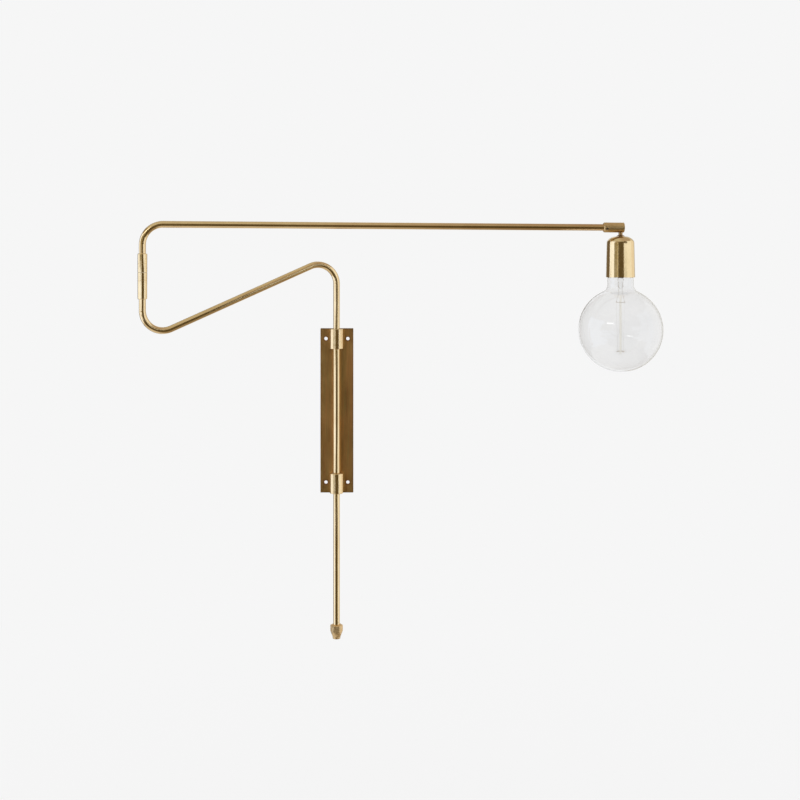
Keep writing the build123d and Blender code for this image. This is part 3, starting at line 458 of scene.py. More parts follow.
bm = bmesh.new()
dome_centre = circle_centre((LAND, 0), DOME_MIDDLE, (SHOULDER, -SHOULDER_DROP))
start = Vector((LAND, 0)) - dome_centre
end = Vector((SHOULDER, -SHOULDER_DROP)) - dome_centre
rim = bm.verts.new(head_at(HOLE, CUP_TOP))
land = bm.verts.new(head_at(LAND, CUP_TOP))
bm.edges.new((rim, land))
shoulder = arc_from(
    bm, land, (dome_centre.x, dome_centre.y + CUP_TOP), start.angle(end), steps=14
)
mouth = bm.verts.new(head_at(MOUTH, CUP_TOP - CUP_HEIGHT))
bm.edges.new((shoulder, mouth))
round_corners(bm, [shoulder], SHOULDER_ROUND * MM, segments=8)
spin_head(bm)
cup = finish_piece(
    bm, "cup_spun_shell", "lamp_head", "cup_brass", "socket_cup", sharp=60, weighted=False
)
thicken(cup, "sheet thickness", CUP_SHEET)
soften(cup, "soft lip", LIP_ROUND)
print("cup is", [round(x * 1000, 2) for x in cup.dimensions], "mm")

# %% [markdown]
# ## The glass of the bulb
# A clear globe of 125 mm with a short neck, blown in one piece. Real glass has two skins, and light bends
# at both, which is what draws the grey rim of a clear bulb. So the outer line is spun once and Solidify
# adds the inner skin, instead of a single surface with a transparent shader.

# %% Blow the globe
GLOBE_RADIUS, GLOBE_CENTRE = 62.5, 129.53
NECK, NECK_FILLET, ROOT, ROOT_ROUND, GLASS_WALL = 19.4, 11.0, 12.1, 3.2, 1.0
ROOT_TOP, ROOT_LOW, NECK_TOP = 224.53, 216.33, 208.33
fillet_x = NECK + NECK_FILLET
fillet_rise = math.sqrt((GLOBE_RADIUS + NECK_FILLET) ** 2 - fillet_x**2)
fillet_turn = math.asin(fillet_rise / (GLOBE_RADIUS + NECK_FILLET))

bm = bmesh.new()
root_top = bm.verts.new(head_at(ROOT, ROOT_TOP))
root_low = bm.verts.new(head_at(ROOT, ROOT_LOW))
neck_top = bm.verts.new(head_at(NECK, NECK_TOP))
neck_low = bm.verts.new(head_at(NECK, GLOBE_CENTRE + fillet_rise))
for pair in ((root_top, root_low), (root_low, neck_top), (neck_top, neck_low)):
    bm.edges.new(pair)
touch = arc_from(bm, neck_low, (fillet_x, GLOBE_CENTRE + fillet_rise), -fillet_turn, steps=8)
arc_from(bm, touch, (0, GLOBE_CENTRE), math.pi / 2 + fillet_turn, steps=64)
round_corners(bm, [root_low, neck_top], ROOT_ROUND * MM, segments=6)
print("profile of the glass:", len(bm.verts), "vertices")
spin_head(bm)
glass = finish_piece(
    bm, "bulb_blown_globe", "bulb", "bulb_glass", "bulb_glass", sharp=180, weighted=False
)
thicken(glass, "glass wall", GLASS_WALL * MM)
print("globe is", [round(x * 1000, 2) for x in glass.dimensions], "mm")

# %% [markdown]
# ## The stem in the bulb
# Inside the neck a glass flare narrows to a tube, is pinched flat where the wires pass through it, and
# runs on as a thin rod with a bead at its tip. Glass workers draw all of that from one tube, so here one
# ring is extruded downwards and scaled at each step, wide, round, flat and thin again.

# %% Draw the stem
def stem_ring(bm, ring, drop, across, along=None):
    """Extrudes the last ring of the stem to a new height and size, in millimetres."""
    made = bmesh.ops.extrude_edge_only(bm, edges=ring)["geom"]
    edges, verts = edges_and_verts(made)
    middle = sum((v.co for v in verts), Vector()) / len(verts)
    place = Vector((lamp_foot.x, lamp_foot.y, drop * MM))
    to_arm = Matrix((upper_way, front_way, UP)).to_4x4()
    wide = max((to_arm @ (v.co - middle)).x for v in verts)
    deep = max((to_arm @ (v.co - middle)).y for v in verts)
    bmesh.ops.translate(bm, vec=place - middle, verts=verts)
    bmesh.ops.scale(
        bm, vec=(across * MM / wide, (along or across) * MM / deep, 1),
        space=to_arm @ Matrix.Translation(-place), verts=verts,
    )
    return edges


def stem_wall(bm, profile, sides=48):
    """Draws one skin of the stem downwards, closes its tip and returns its open top ring."""
    (height, radius), *steps = profile
    ring = first = ring_at(bm, lamp_foot + UP * height * MM, UP, upper_way, radius * MM, sides)
    for drop, *sizes in steps:
        ring = stem_ring(bm, ring, drop, *sizes)
    bmesh.ops.edgeloop_fill(bm, edges=ring)
    return first


STEM_OUTSIDE = [
    (223.53, 11.05), (221.0, 9.1), (218.0, 7.2), (214.5, 5.5), (211.5, 4.45), (209.0, 4.0), (201.5, 4.0),
    (200.5, 4.3, 3.1), (196.7, 4.3, 3.1), (196.0, 4.4, 2.5), (193.7, 4.2, 2.5), (192.6, 2.6, 1.9),
    (191.0, 1.85), (189.0, 1.75), (97.4, 1.75), (96.4, 1.8), (95.6, 1.85), (94.9, 1.65), (94.4, 1.2),
    (94.1, 0.6),
]       # height, then the width along the arm and, where it is pinched, across it
STEM_INSIDE = [
    (223.53, 10.25), (221.0, 8.3), (218.0, 6.4), (214.5, 4.7), (212.4, 3.6), (211.4, 2.6), (211.0, 1.0),
]
bm = bmesh.new()
bmesh.ops.bridge_loops(bm, edges=stem_wall(bm, STEM_OUTSIDE) + stem_wall(bm, STEM_INSIDE))
finish_piece(bm, "bulb_drawn_stem", "bulb", "stem_glass", "bulb_stem", sharp=60)

# %% [markdown]
# ## Hooks, lead wires and filament
# Four thin hooks near the top of the rod and four near its tip carry the filament, which runs up and down
# between them like the lacing of a drum. Each hook ends in a small open eye. A wire is only a very thin
# tube, so the helper that drew the arms draws these too.

# %% Bend the hooks
HOOK_RADIUS, HOOK_WIRE, ROD_RADIUS = 6.3 * MM, 0.25 * MM, 1.7 * MM
HOOK_OVERHANG, HOOK_RISE, HOOK_RETURN, HOOK_BEND = 0.45 * MM, 0.9 * MM, 0.6 * MM, 0.4 * MM
UPPER_HOOKS, LOWER_HOOKS, HOOK_TWIST = 170.6 * MM, 97.73 * MM, math.radians(22.5)


def hook_place(index, height):
    """Direction and eye of one hook. The lower ones stand between the upper ones."""
    turn = 0.5 if height == LOWER_HOOKS else 0.0
    angle = math.pi / 2 * (index + turn) + HOOK_TWIST
    away = upper_way * math.cos(angle) + front_way * math.sin(angle)
    return away, lamp_foot + away * HOOK_RADIUS + UP * height


def closed_wire(bm, route, bend, radius, sides=12, bend_steps=5):
    """A wire: a very thin tube whose two ends are closed."""
    for end in draw_skin(bm, route, bend, radius, sides, bend_steps):
        bmesh.ops.edgeloop_fill(bm, edges=end)


bm = bmesh.new()
for height in (UPPER_HOOKS, LOWER_HOOKS):
    for index in range(4):
        away, eye = hook_place(index, height)
        root = eye - away * (HOOK_RADIUS - ROD_RADIUS)
        outer = eye + away * HOOK_OVERHANG
        lift = UP * (HOOK_RISE if height == UPPER_HOOKS else -HOOK_RISE)
        route = [root, outer, outer + lift, eye - away * HOOK_RETURN + lift * 0.8]
        closed_wire(bm, route, HOOK_BEND, HOOK_WIRE)
finish_piece(bm, "bulb_bent_hooks", "bulb", "support_wire", "bulb_supports", sharp=60)

# %% Bend the lead wires and lace the filament
LEAD_WIRE, LEAD_BEND, FILAMENT_WIRE, FILAMENT_BEND = 0.16 * MM, 1.0 * MM, 0.045 * MM, 0.035 * MM
LEAD_WAY = ((2.2, 206.4), (5.0, 205.2), (2.4, 200.0))     # out from the axis and up, where it is sealed in
KNEE_DROP, KNEE_OUT, FOOT_RISE, EYE_INSET = 15.0 * MM, 0.4 * MM, 0.62 * MM, 0.45 * MM

bm = bmesh.new()
for side, index in ((1, 0), (-1, 2)):
    away, eye = hook_place(index, UPPER_HOOKS)
    route = [lamp_foot + (upper_way * side * out + UP * height) * MM for out, height in LEAD_WAY]
    route.append(route[-1] - UP * KNEE_DROP + away * KNEE_OUT)
    route.append(eye + UP * FOOT_RISE)
    closed_wire(bm, route, LEAD_BEND, LEAD_WIRE)
finish_piece(bm, "bulb_bent_leads", "bulb", "support_wire", "bulb_lead_wires", sharp=60)

bm = bmesh.new()
route = []
for index in range(4):
    route.append(hook_place(index, UPPER_HOOKS)[1] - UP * EYE_INSET)
    route.append(hook_place(index, LOWER_HOOKS)[1] + UP * EYE_INSET)
closed_wire(bm, route, FILAMENT_BEND, FILAMENT_WIRE, sides=8, bend_steps=6)
finish_piece(bm, "bulb_laced_filament", "bulb", "filament", "bulb_filament", sharp=60)

# %% [markdown]
# ## Building blocks for the finishes
# A material is a small graph of nodes. Two helpers keep the graphs short: one adds a node and links or
# fills its inputs, the other starts a node group with named sockets. A group is a finish effect, such as
# grain or tarnish, that is built once and used in many materials with different values.

# %% Helpers for nodes
def add_node(tree, kind, inputs=None, **settings):
    """Adds a node. An input is given a plain value, or a socket to link from."""
    node = tree.nodes.new("ShaderNode" + kind)
    for label, setting in settings.items():
        setattr(node, label, setting)
    for key, value in (inputs or {}).items():
        if isinstance(value, bpy.types.NodeSocket):
            tree.links.new(value, node.inputs[key])
        else:
            node.inputs[key].default_value = value
    return node


def remap(tree, value, low, high, to_low, to_high):
    """Map Range: stretches a value from one range to another."""
    inputs = {"Value": value, "From Min": low, "From Max": high, "To Min": to_low, "To Max": to_high}
    return add_node(tree, "MapRange", inputs).outputs["Result"]


def mix_colour(tree, factor, first, second, way="MIX"):
    """Mixes two colours and returns the socket with the result."""
    node = add_node(tree, "Mix", {0: factor, 6: first, 7: second}, data_type="RGBA", blend_type=way)
    return node.outputs[2]


def calculate(tree, operation, first, second=0.0):
    """One Math node."""
    return add_node(tree, "Math", {0: first, 1: second}, operation=operation).outputs[0]


def new_group(name, inputs, outputs):
    """A node group. Inputs are (name, kind, starting value), outputs (name, kind)."""
    tree = bpy.data.node_groups.new(name, "ShaderNodeTree")
    for label, kind, value in inputs:
        socket = tree.interface.new_socket(name=label, in_out="INPUT", socket_type="NodeSocket" + kind)
        if value is not None:
            socket.default_value = value
    for label, kind in outputs:
        tree.interface.new_socket(name=label, in_out="OUTPUT", socket_type="NodeSocket" + kind)
    return tree, tree.nodes.new("NodeGroupInput").outputs, tree.nodes.new("NodeGroupOutput").inputs


def use_group(tree, group, inputs):
    """Places a group in a material."""
    return add_node(tree, "Group", inputs, node_tree=group).outputs


def new_material(name):
    """An empty material with its graph, its shader and the coordinates of the lamp."""
    material = bpy.data.materials.new(name)
    material.use_nodes = True
    tree = material.node_tree
    return material, tree, tree.nodes["Principled BSDF"], add_node(tree, "TexCoord").outputs["Object"]


def grey(value):
    """A grey colour."""
    return value, value, value, 1.0


def make_rough(tree, shader, mask, rough):
    """Gives a shader one roughness where a mask is dark and another where it is bright."""
    tree.links.new(remap(tree, mask, 0.0, 1.0, *rough), shader.inputs["Roughness"])


def make_bumps(tree, shader, height, strength, depth):
    """Turns a height into small bumps of a shader."""
    bumps = add_node(tree, "Bump", {"Height": height, "Strength": strength, "Distance": depth})
    tree.links.new(bumps.outputs[0], shader.inputs["Normal"])


def seen_directly(tree):
    """A mask of the rays that see a surface from the camera, in a mirror or through glass."""
    rays = add_node(tree, "LightPath").outputs
    mirrored = calculate(tree, "MAXIMUM", rays["Is Camera Ray"], rays["Is Glossy Ray"])
    return calculate(tree, "MAXIMUM", mirrored, rays["Is Transmission Ray"])


# %% [markdown]
# ## Effect one: grain
# Drawing a tube through a die, or holding emery against a turning bar, leaves fine lines. They are noise
# that is stretched a long way in one direction. The group takes a vector that is already stretched, and
# gives a height for a Bump node and a mask of streaks for colour and roughness.

# %% Build the grain group
grain, given, out = new_group(
    "brushed_grain", [("Vector", "Vector", None)], [("Height", "Float"), ("Streaks", "Float")]
)
wide_lines = add_node(grain, "TexNoise", {"Vector": given["Vector"], "Scale": 1.0, "Detail": 3.0})
fine_lines = add_node(grain, "TexNoise", {"Vector": given["Vector"], "Scale": 5.3, "Detail": 2.0})
half_fine = calculate(grain, "MULTIPLY", fine_lines.outputs[0], 0.5)
height = calculate(grain, "ADD", wide_lines.outputs[0], half_fine)
grain.links.new(height, out["Height"])
grain.links.new(remap(grain, height, 0.55, 0.95, 0.0, 1.0), out["Streaks"])
print(grain.name, "has", len(grain.nodes), "nodes")

# %% [markdown]
# ## Effect two: tarnish
# Raw brass that is handled and left in air goes brown in clouds, with small darker specks. Two sizes of
# noise are enough: a large one for the clouds and a small one for the specks.

# %% Build the tarnish group
tarnish, given, out = new_group(
    "brass_tarnish",
    [("Vector", "Vector", None), ("Size", "Float", 20.0), ("Amount", "Float", 0.5),
     ("Bright", "Color", (0.82, 0.58, 0.30, 1)), ("Dark", "Color", (0.4, 0.22, 0.08, 1))],
    [("Color", "Color"), ("Mask", "Float")],
)
clouds = add_node(
    tarnish, "TexNoise",
    {"Vector": given["Vector"], "Scale": given["Size"], "Detail": 5.0, "Roughness": 0.6, "Distortion": 0.4},
)
speck_scale = calculate(tarnish, "MULTIPLY", given["Size"], 14.0)
specks = add_node(tarnish, "TexNoise", {"Vector": given["Vector"], "Scale": speck_scale, "Detail": 3.0})
cloud_mask = remap(tarnish, clouds.outputs[0], 0.38, 0.70, 0.0, 1.0)
speck_mask = remap(tarnish, specks.outputs[0], 0.62, 0.78, 0.0, 0.6)
both = calculate(tarnish, "MAXIMUM", cloud_mask, speck_mask)
mask = calculate(tarnish, "MULTIPLY", both, given["Amount"])
tarnish.links.new(mask, out["Mask"])
tarnish.links.new(mix_colour(tarnish, mask, given["Bright"], given["Dark"]), out["Color"])
print(tarnish.name, "has", len(tarnish.nodes), "nodes")

# %% [markdown]
# ## Effect three: smudges
# Handling leaves patches that are a little less shiny. They have no colour of their own, so this group
# only gives a mask, which each material turns into its own range of roughness.

# %% Build the smudge group
smudges, given, out = new_group(
    "handling_smudges",
    [("Vector", "Vector", None), ("Size", "Float", 30.0)],
    [("Mask", "Float")],
)
patches = add_node(
    smudges, "TexNoise",
    {"Vector": given["Vector"], "Scale": given["Size"], "Detail": 4.0, "Roughness": 0.55, "Distortion": 1.2},
)
smudges.links.new(remap(smudges, patches.outputs[0], 0.35, 0.68, 0.0, 1.0), out["Mask"])
print(smudges.name, "has", len(smudges.nodes), "nodes")

# %% [markdown]
# ## One recipe for the brass finishes
# Tube, collars, knuckle and cup are the same alloy. They differ in how bright or brown they are, how
# rough, and which way the grain runs. A recipe with named values keeps them a family.

# %% A helper for brass and other plain metals
SMUDGE_SIZE, TARNISH_DULLS, GRAIN_DEPTH = 1.7, 0.12, 0.05 * MM      # the first two are shares


def metal(name, bright, dark, amount, cloud_size, rough, stretch, bump, streak_tint=0.25,
          attribute=None, turn=None, browning=None):
    """A metal with tarnish, grain and smudges. Stretch scales the grain's vector along X, Y and Z."""
    material, tree, shader, place = new_material(name)
    if attribute:
        place = add_node(tree, "Attribute", attribute_name=attribute).outputs["Vector"]
    if turn:
        place = add_node(tree, "Mapping", {"Vector": place, "Rotation": turn}).outputs[0]
    lengthways = add_node(tree, "Mapping", {"Vector": place, "Scale": stretch}).outputs[0]
    lines = use_group(tree, grain, {"Vector": lengthways})
    brown = use_group(
        tree, tarnish,
        {"Vector": place, "Size": cloud_size, "Amount": amount, "Bright": (*bright, 1), "Dark": (*dark, 1)},
    )
    dull = use_group(tree, smudges, {"Vector": place, "Size": cloud_size * SMUDGE_SIZE})
    shade = remap(tree, lines["Streaks"], 0.0, 1.0, 1.0 - streak_tint, 1.0)
    colour = mix_colour(tree, 1.0, brown["Color"], shade, "MULTIPLY")
    if browning:
        start, end, most = browning
        along = add_node(tree, "SeparateXYZ", {0: place}).outputs["Z"]
        colour = mix_colour(tree, remap(tree, along, start, end, 0.0, most), colour, (*dark, 1))
    tree.links.new(colour, shader.inputs["Base Color"])
    base_rough = remap(tree, dull["Mask"], 0.0, 1.0, rough[0], rough[1])
    more = calculate(tree, "MULTIPLY", brown["Mask"], TARNISH_DULLS)
    tree.links.new(calculate(tree, "ADD", base_rough, more), shader.inputs["Roughness"])
    make_bumps(tree, shader, lines["Height"], bump, GRAIN_DEPTH)
    shader.inputs["Metallic"].default_value = 1.0
    return material


# %% Mix the brass finishes
ALONG_Z, AROUND_Z, EVENLY = (3500.0, 3500.0, 18.0), (40.0, 40.0, 2600.0), (900.0, 900.0, 900.0)
TUBE_GRAIN, BAR_GRAIN = (4000.0, 4000.0, 9.0), (30.0, 4000.0, 4000.0)
BROWNS_FROM, BROWNS_TO, MOST_BROWN = 0.30, 0.72, 0.6       # metres along the upper arm, and how much
arm_turn = (0, 0, -math.atan2(arm_way.y, arm_way.x))
finishes = {
    "tube_brass": metal(
        "drawn tube brass", (0.87, 0.67, 0.39), (0.62, 0.40, 0.18), 0.35, 26.0, (0.06, 0.11),
        TUBE_GRAIN, 0.001, 0.10, attribute="straight",
    ),
    "upper_arm_brass": metal(
        "drawn brass browner at the lamp", (0.87, 0.67, 0.39), (0.56, 0.35, 0.16), 0.35, 26.0,
        (0.06, 0.11), TUBE_GRAIN, 0.001, 0.10, attribute="straight",
        browning=(BROWNS_FROM, BROWNS_TO, MOST_BROWN),
    ),
    "elbow_brass": metal(
        "turned elbow brass", (0.88, 0.69, 0.41), (0.62, 0.42, 0.19), 0.25, 60.0, (0.06, 0.10),
        AROUND_Z, 0.001, 0.08,
    ),
    "turned_brass": metal(
        "turned brass", (0.88, 0.67, 0.39), (0.62, 0.42, 0.19), 0.3, 45.0, (0.11, 0.17),
        AROUND_Z, 0.002, 0.10,
    ),
    "brushed_brass": metal(
        "brushed knuckle brass", (0.79, 0.58, 0.30), (0.50, 0.32, 0.14), 0.5, 60.0, (0.27, 0.36),
        BAR_GRAIN, 0.03, 0.22, turn=arm_turn,
    ),
    # The neck's dark brown is painted shade: the neck sits in the shadow of the knuckle above it.
    "neck_brass_painted_shade": metal(
        "neck brass darkened as painted shade", (0.50, 0.33, 0.17), (0.27, 0.17, 0.08), 0.7, 160.0, (0.3, 0.42),
        AROUND_Z, 0.02, 0.2,
    ),
    "gland_brass": metal(
        "worn gland brass", (0.86, 0.64, 0.36), (0.60, 0.40, 0.18), 0.35, 90.0, (0.42, 0.50),
        AROUND_Z, 0.002, 0.15,
    ),
    "cup_brass": metal(
        "satin cup brass", (0.87, 0.68, 0.40), (0.62, 0.46, 0.20), 0.25, 30.0, (0.10, 0.16),
        ALONG_Z, 0.006, 0.10,
    ),
}
print("brass finishes:", sorted(finishes))

# %% [markdown]
# ## The aged plate
# The plate is flat, so all of it mirrors the same dark part of the room and its own colour shows most. It
# is browner than the tubes, with upright streaks from the polishing belt, a dark edge where the belt
# didn't reach and a stain round each wall hole. A warm band beside the tube is painted reflection: the
# tube's warm light on the plate, painted into its colour. The streaks are stretched noise. The edge, the
# stains and the band are distances, worked out from the plate's own coordinates.

# %% Measure distances on the plate
# The band beside the tube, between the collars, is a painted reflection of the tube's warm light on the
# plate.
TUBE_REFLECTION_AT, TUBE_REFLECTION_HALF, TUBE_REFLECTION_END, TUBE_REFLECTION_FADE = 7.4 * MM, 4.2 * MM, 88 * MM, 98 * MM
SIDE_BAND, END_BAND, STAIN = 2.2 * MM, 2.6 * MM, 2.6 * MM
aged, tree, shader, place = new_material("aged plate brass")
apart = add_node(tree, "SeparateXYZ", {0: place}).outputs
across = calculate(tree, "ABSOLUTE", apart["X"])
upwards = calculate(tree, "ABSOLUTE", apart["Z"])
side_edge = remap(tree, across, half_width - SIDE_BAND, half_width, 0.0, 1.0)
end_edge = remap(tree, upwards, half_height - END_BAND, half_height, 0.0, 1.0)
edge = calculate(tree, "MAXIMUM", side_edge, end_edge)
from_hole_x = calculate(tree, "SUBTRACT", across, WALL_HOLES_X / 2)
from_hole_z = calculate(tree, "SUBTRACT", upwards, WALL_HOLES_Z / 2)
hole_way = add_node(tree, "CombineXYZ", {0: from_hole_x, 2: from_hole_z}).outputs[0]
from_hole = add_node(tree, "VectorMath", {0: hole_way}, operation="LENGTH").outputs["Value"]
stain = remap(tree, from_hole, WALL_HOLE, WALL_HOLE + STAIN, 1.0, 0.0)
from_tube_reflection = calculate(tree, "ABSOLUTE", calculate(tree, "ADD", apart["X"], TUBE_REFLECTION_AT))
tube_reflection_painted = remap(tree, from_tube_reflection, 0.0, TUBE_REFLECTION_HALF, 0.5, 0.0)
between_collars = remap(tree, upwards, TUBE_REFLECTION_END, TUBE_REFLECTION_FADE, 1.0, 0.0)
tube_reflection_painted = calculate(tree, "MULTIPLY", tube_reflection_painted, between_collars)
print("the edge, stains and rubbed band take", len(tree.nodes), "nodes")

# %% Mix the plate's finish
CLOUD_STRETCH, BELT_STRETCH, BAND_STRETCH = (1.0, 1.0, 0.16), (2600.0, 2600.0, 22.0), (230.0, 230.0, 7.0)
upright, belt, bands = (
    add_node(tree, "Mapping", {"Vector": place, "Scale": stretch}).outputs[0]
    for stretch in (CLOUD_STRETCH, BELT_STRETCH, BAND_STRETCH)
)
brown = use_group(
    tree, tarnish,
    {"Vector": upright, "Size": 95.0, "Amount": 0.9, "Bright": (0.84, 0.51, 0.20, 1),
     "Dark": (0.46, 0.24, 0.09, 1)},
)
lines = use_group(tree, grain, {"Vector": belt})
broad = use_group(tree, grain, {"Vector": bands})
rust = use_group(tree, smudges, {"Vector": upright, "Size": 60.0})
colour = mix_colour(
    tree, 1.0, brown["Color"], remap(tree, lines["Streaks"], 0.0, 1.0, 0.68, 1.10), "MULTIPLY"
)
LAYERS = [
    (broad["Streaks"], 0.6, (0.50, 0.41, 0.16)),       # olive bands
    (rust["Mask"], 0.55, (0.78, 0.37, 0.14)),          # rusty clouds
    (edge, 0.62, (0.26, 0.15, 0.055)),                 # dark edge
    (stain, 0.7, (0.40, 0.15, 0.05)),                  # stains round the wall holes
    # The last layer is painted reflection: the tube's warm light on the plate beside it.
    (tube_reflection_painted, 1.0, (0.98, 0.56, 0.22)),                 # warm band beside the tube
]
for mask, strength, tint in LAYERS:
    colour = mix_colour(tree, calculate(tree, "MULTIPLY", mask, strength), colour, (*tint, 1))
tree.links.new(colour, shader.inputs["Base Color"])
dull = use_group(tree, smudges, {"Vector": place, "Size": 40.0})
make_rough(tree, shader, dull["Mask"], (0.34, 0.46))
make_bumps(tree, shader, lines["Height"], 0.12, 0.02 * MM)
shader.inputs["Metallic"].default_value = 1.0
finishes["aged_brass"] = aged
print(aged.name, "has", len(tree.nodes), "nodes")

# %% [markdown]
# ## The other metals
# Steel screws, the springy contacts of the lampholder, the cap of the bulb, its solder point and the wires
# inside the glass use the same recipe with their own colours. Most of them only show when the bulb is out
# or the lamp is seen from behind.

# %% Mix the other metals
OTHER_METALS = {
    "steel_screws": (
        "browned screw steel", (0.34, 0.29, 0.24), (0.20, 0.14, 0.10), 0.6, 220.0, (0.34, 0.46), EVENLY, 0.05,
    ),
    "contact_metal": (
        "spring contact brass", (0.76, 0.66, 0.46), (0.5, 0.38, 0.2), 0.4, 120.0, (0.2, 0.32), AROUND_Z, 0.05,
    ),
    "bulb_cap_metal": (
        "rolled cap metal", (0.74, 0.71, 0.66), (0.5, 0.46, 0.4), 0.4, 90.0, (0.22, 0.34), AROUND_Z, 0.06,
    ),
    "solder": (
        "solder", (0.60, 0.60, 0.61), (0.36, 0.36, 0.38), 0.6, 500.0, (0.34, 0.5), EVENLY, 0.3,
    ),
    "support_wire": (
        "hook wire", (0.62, 0.50, 0.36), (0.42, 0.32, 0.22), 0.5, 150.0, (0.3, 0.42), EVENLY, 0.02,
    ),
    "filament": (
        "filament wire", (0.78, 0.74, 0.67), (0.60, 0.55, 0.47), 0.5, 150.0, (0.35, 0.5), EVENLY, 0.02,
    ),
}
finishes.update({slot: metal(*recipe) for slot, recipe in OTHER_METALS.items()})
print("other metals:", sorted(OTHER_METALS))

# %% [markdown]
# ## Plastics, rubber and glass insulation
# The liners in the collars, the bush in the gland, the jacket of the flex and the body of the lampholder
# are moulded. A moulded skin has a fine even texture and small changes of shade and gloss, and nothing
# runs in one direction, so plain noise in three dimensions is right for all of them.

# %% Mix the moulded finishes
def moulded(name, light, dark, size, rough, bump):
    """A moulded or pressed skin that isn't metal."""
    material, tree, shader, place = new_material(name)
    patches = use_group(tree, smudges, {"Vector": place, "Size": size})
    tree.links.new(mix_colour(tree, patches["Mask"], (*light, 1), (*dark, 1)), shader.inputs["Base Color"])
    make_rough(tree, shader, patches["Mask"], rough)
    skin = add_node(tree, "TexNoise", {"Vector": place, "Scale": size * 40.0, "Detail": 3.0})
    make_bumps(tree, shader, skin.outputs[0], bump, GRAIN_DEPTH)
    return material


MOULDED = {
    "nylon": ("milky nylon", (0.68, 0.63, 0.50), (0.58, 0.52, 0.40), 90.0, (0.35, 0.5), 0.1),
    "rubber": ("black bush rubber", (0.03, 0.03, 0.028), (0.016, 0.016, 0.015), 120.0, (0.6, 0.75), 0.3),
    "flex_jacket": ("black flex jacket", (0.035, 0.034, 0.032), (0.02, 0.02, 0.019), 60.0, (0.4, 0.55), 0.2),
    "core_insulation": (
        "brown core sheath", (0.20, 0.09, 0.045), (0.13, 0.055, 0.03), 90.0, (0.3, 0.42), 0.1,
    ),
    "holder_insulator": (
        "black holder moulding", (0.045, 0.042, 0.038), (0.027, 0.025, 0.023), 50.0, (0.28, 0.42), 0.15,
    ),
    "bulb_cap_insulation": (
        "dark glass insulation", (0.03, 0.03, 0.04), (0.015, 0.015, 0.02), 160.0, (0.12, 0.25), 0.1,
    ),
}
finishes.update({slot: moulded(*recipe) for slot, recipe in MOULDED.items()})
print("moulded finishes:", sorted(MOULDED))

# %% [markdown]
# ## Clear glass
# The globe is blown and the stem is drawn, so neither is optically flat. A very faint, wide wave in the
# surface makes reflections swim a little, which the eye reads as blown glass. The colour stays close to
# white, with a slightly greyer cast where the glass gathers.

# %% Mix the glass
def clear_glass(name, light, dark, size, wave, rough, warm=None):
    """Blown or drawn glass with a faint wave. Warm is a tint and the height below which it starts."""
    material, tree, shader, place = new_material(name)
    patches = use_group(tree, smudges, {"Vector": place, "Size": size})
    colour = mix_colour(tree, patches["Mask"], (*light, 1), (*dark, 1))
    if warm:
        tint, height = warm
        upwards = add_node(tree, "SeparateXYZ", {0: place}).outputs["Z"]
        below = remap(tree, upwards, height - 8 * MM, height, 1.0, 0.0)
        colour = mix_colour(tree, below, colour, (*tint, 1))
    tree.links.new(colour, shader.inputs["Base Color"])
    make_rough(tree, shader, patches["Mask"], rough)
    swell = add_node(tree, "TexNoise", {"Vector": place, "Scale": size * 1.5, "Detail": 1.0})
    make_bumps(tree, shader, swell.outputs[0], wave, 1.0 * MM)
    shader.inputs["Metallic"].default_value = 0.0
    shader.inputs["Transmission Weight"].default_value = 1.0
    shader.inputs["IOR"].default_value = 1.47
    return material


finishes["bulb_glass"] = clear_glass(
    "blown globe glass", (0.950, 0.950, 0.950), (0.920, 0.921, 0.923), 14.0, 0.004, (0.0, 0.01)
)
finishes["stem_glass"] = clear_glass(
    "drawn stem glass", (0.975, 0.973, 0.97), (0.95, 0.945, 0.94), 120.0, 0.01, (0.02, 0.05),
    warm=((0.95, 0.93, 0.87), 185 * MM),
)
print("clear glass:", finishes["bulb_glass"].name, "and", finishes["stem_glass"].name)

# %% [markdown]
# ## Finishes on pieces
# The record says which finish each solid has, by the name of a slot. A few pieces differ from the others
# with the same slot, such as the elbow, the browner upper arm and the worn gland nut, so they are named.

# %% Give every piece its finish
def paint(piece, material):
    """Puts one material on a piece, in its own slot or in a new one."""
    if piece.material_slots:
        piece.material_slots[0].material = material
    else:
        piece.data.materials.append(material)


own_finish = {node + "_turned": "elbow_brass" for node in elbow_sections}
# The lamp nipple gets the darkened neck brass, which is painted shade under the knuckle.
own_finish.update({
    "upper_arm_drawn_tube": "upper_arm_brass", "lamp_nipple": "neck_brass_painted_shade",
    "gland_bridged_nut": "gland_brass",
})
for piece in pieces_made:
    paint(piece, finishes[own_finish.get(piece.name, piece["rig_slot"])])
for node, piece in frame["nodes"].items():
    paint(piece, finishes[own_finish.get(node, piece.material_slots[0].material.name)])
print("finishes in use:", len(finishes))

# %% [markdown]
# ## The floor and the background
# The photograph has a flat pale background. The world is that colour wherever it is seen, in metal and
# through glass too, and a little dimmer as a light on matt surfaces. The floor has nearly the same colour
# and lies far below the lamp. Near the lamp it keeps the shadow, and further out it fades into the world,
# so it has no edge. Metal doesn't mirror it, and from below it is clear.

# %% Make the world
BACKGROUND, ROOM_LIGHT = 0.922, 0.78
scene = bpy.context.scene
world = bpy.data.worlds.new("pale studio")
world.use_nodes = True
tree = world.node_tree
room = mix_colour(tree, seen_directly(tree), grey(ROOM_LIGHT), grey(BACKGROUND))
tree.links.new(room, tree.nodes["Background"].inputs["Color"])
scene.world = world
print("background", BACKGROUND, "and room light", ROOM_LIGHT)

# %% Lay the floor
FLOOR_HEIGHT, FLOOR_HALF, FLOOR_GREY = -1.1, 12.0, 0.85
NEAR, FAR = 1.3, 3.0                       # where the floor starts to fade, and where it has faded
NEAR_GLOW, NEAR_SHARE = 1.02, 0.6          # how bright it glows near the lamp, and how much of it is glow


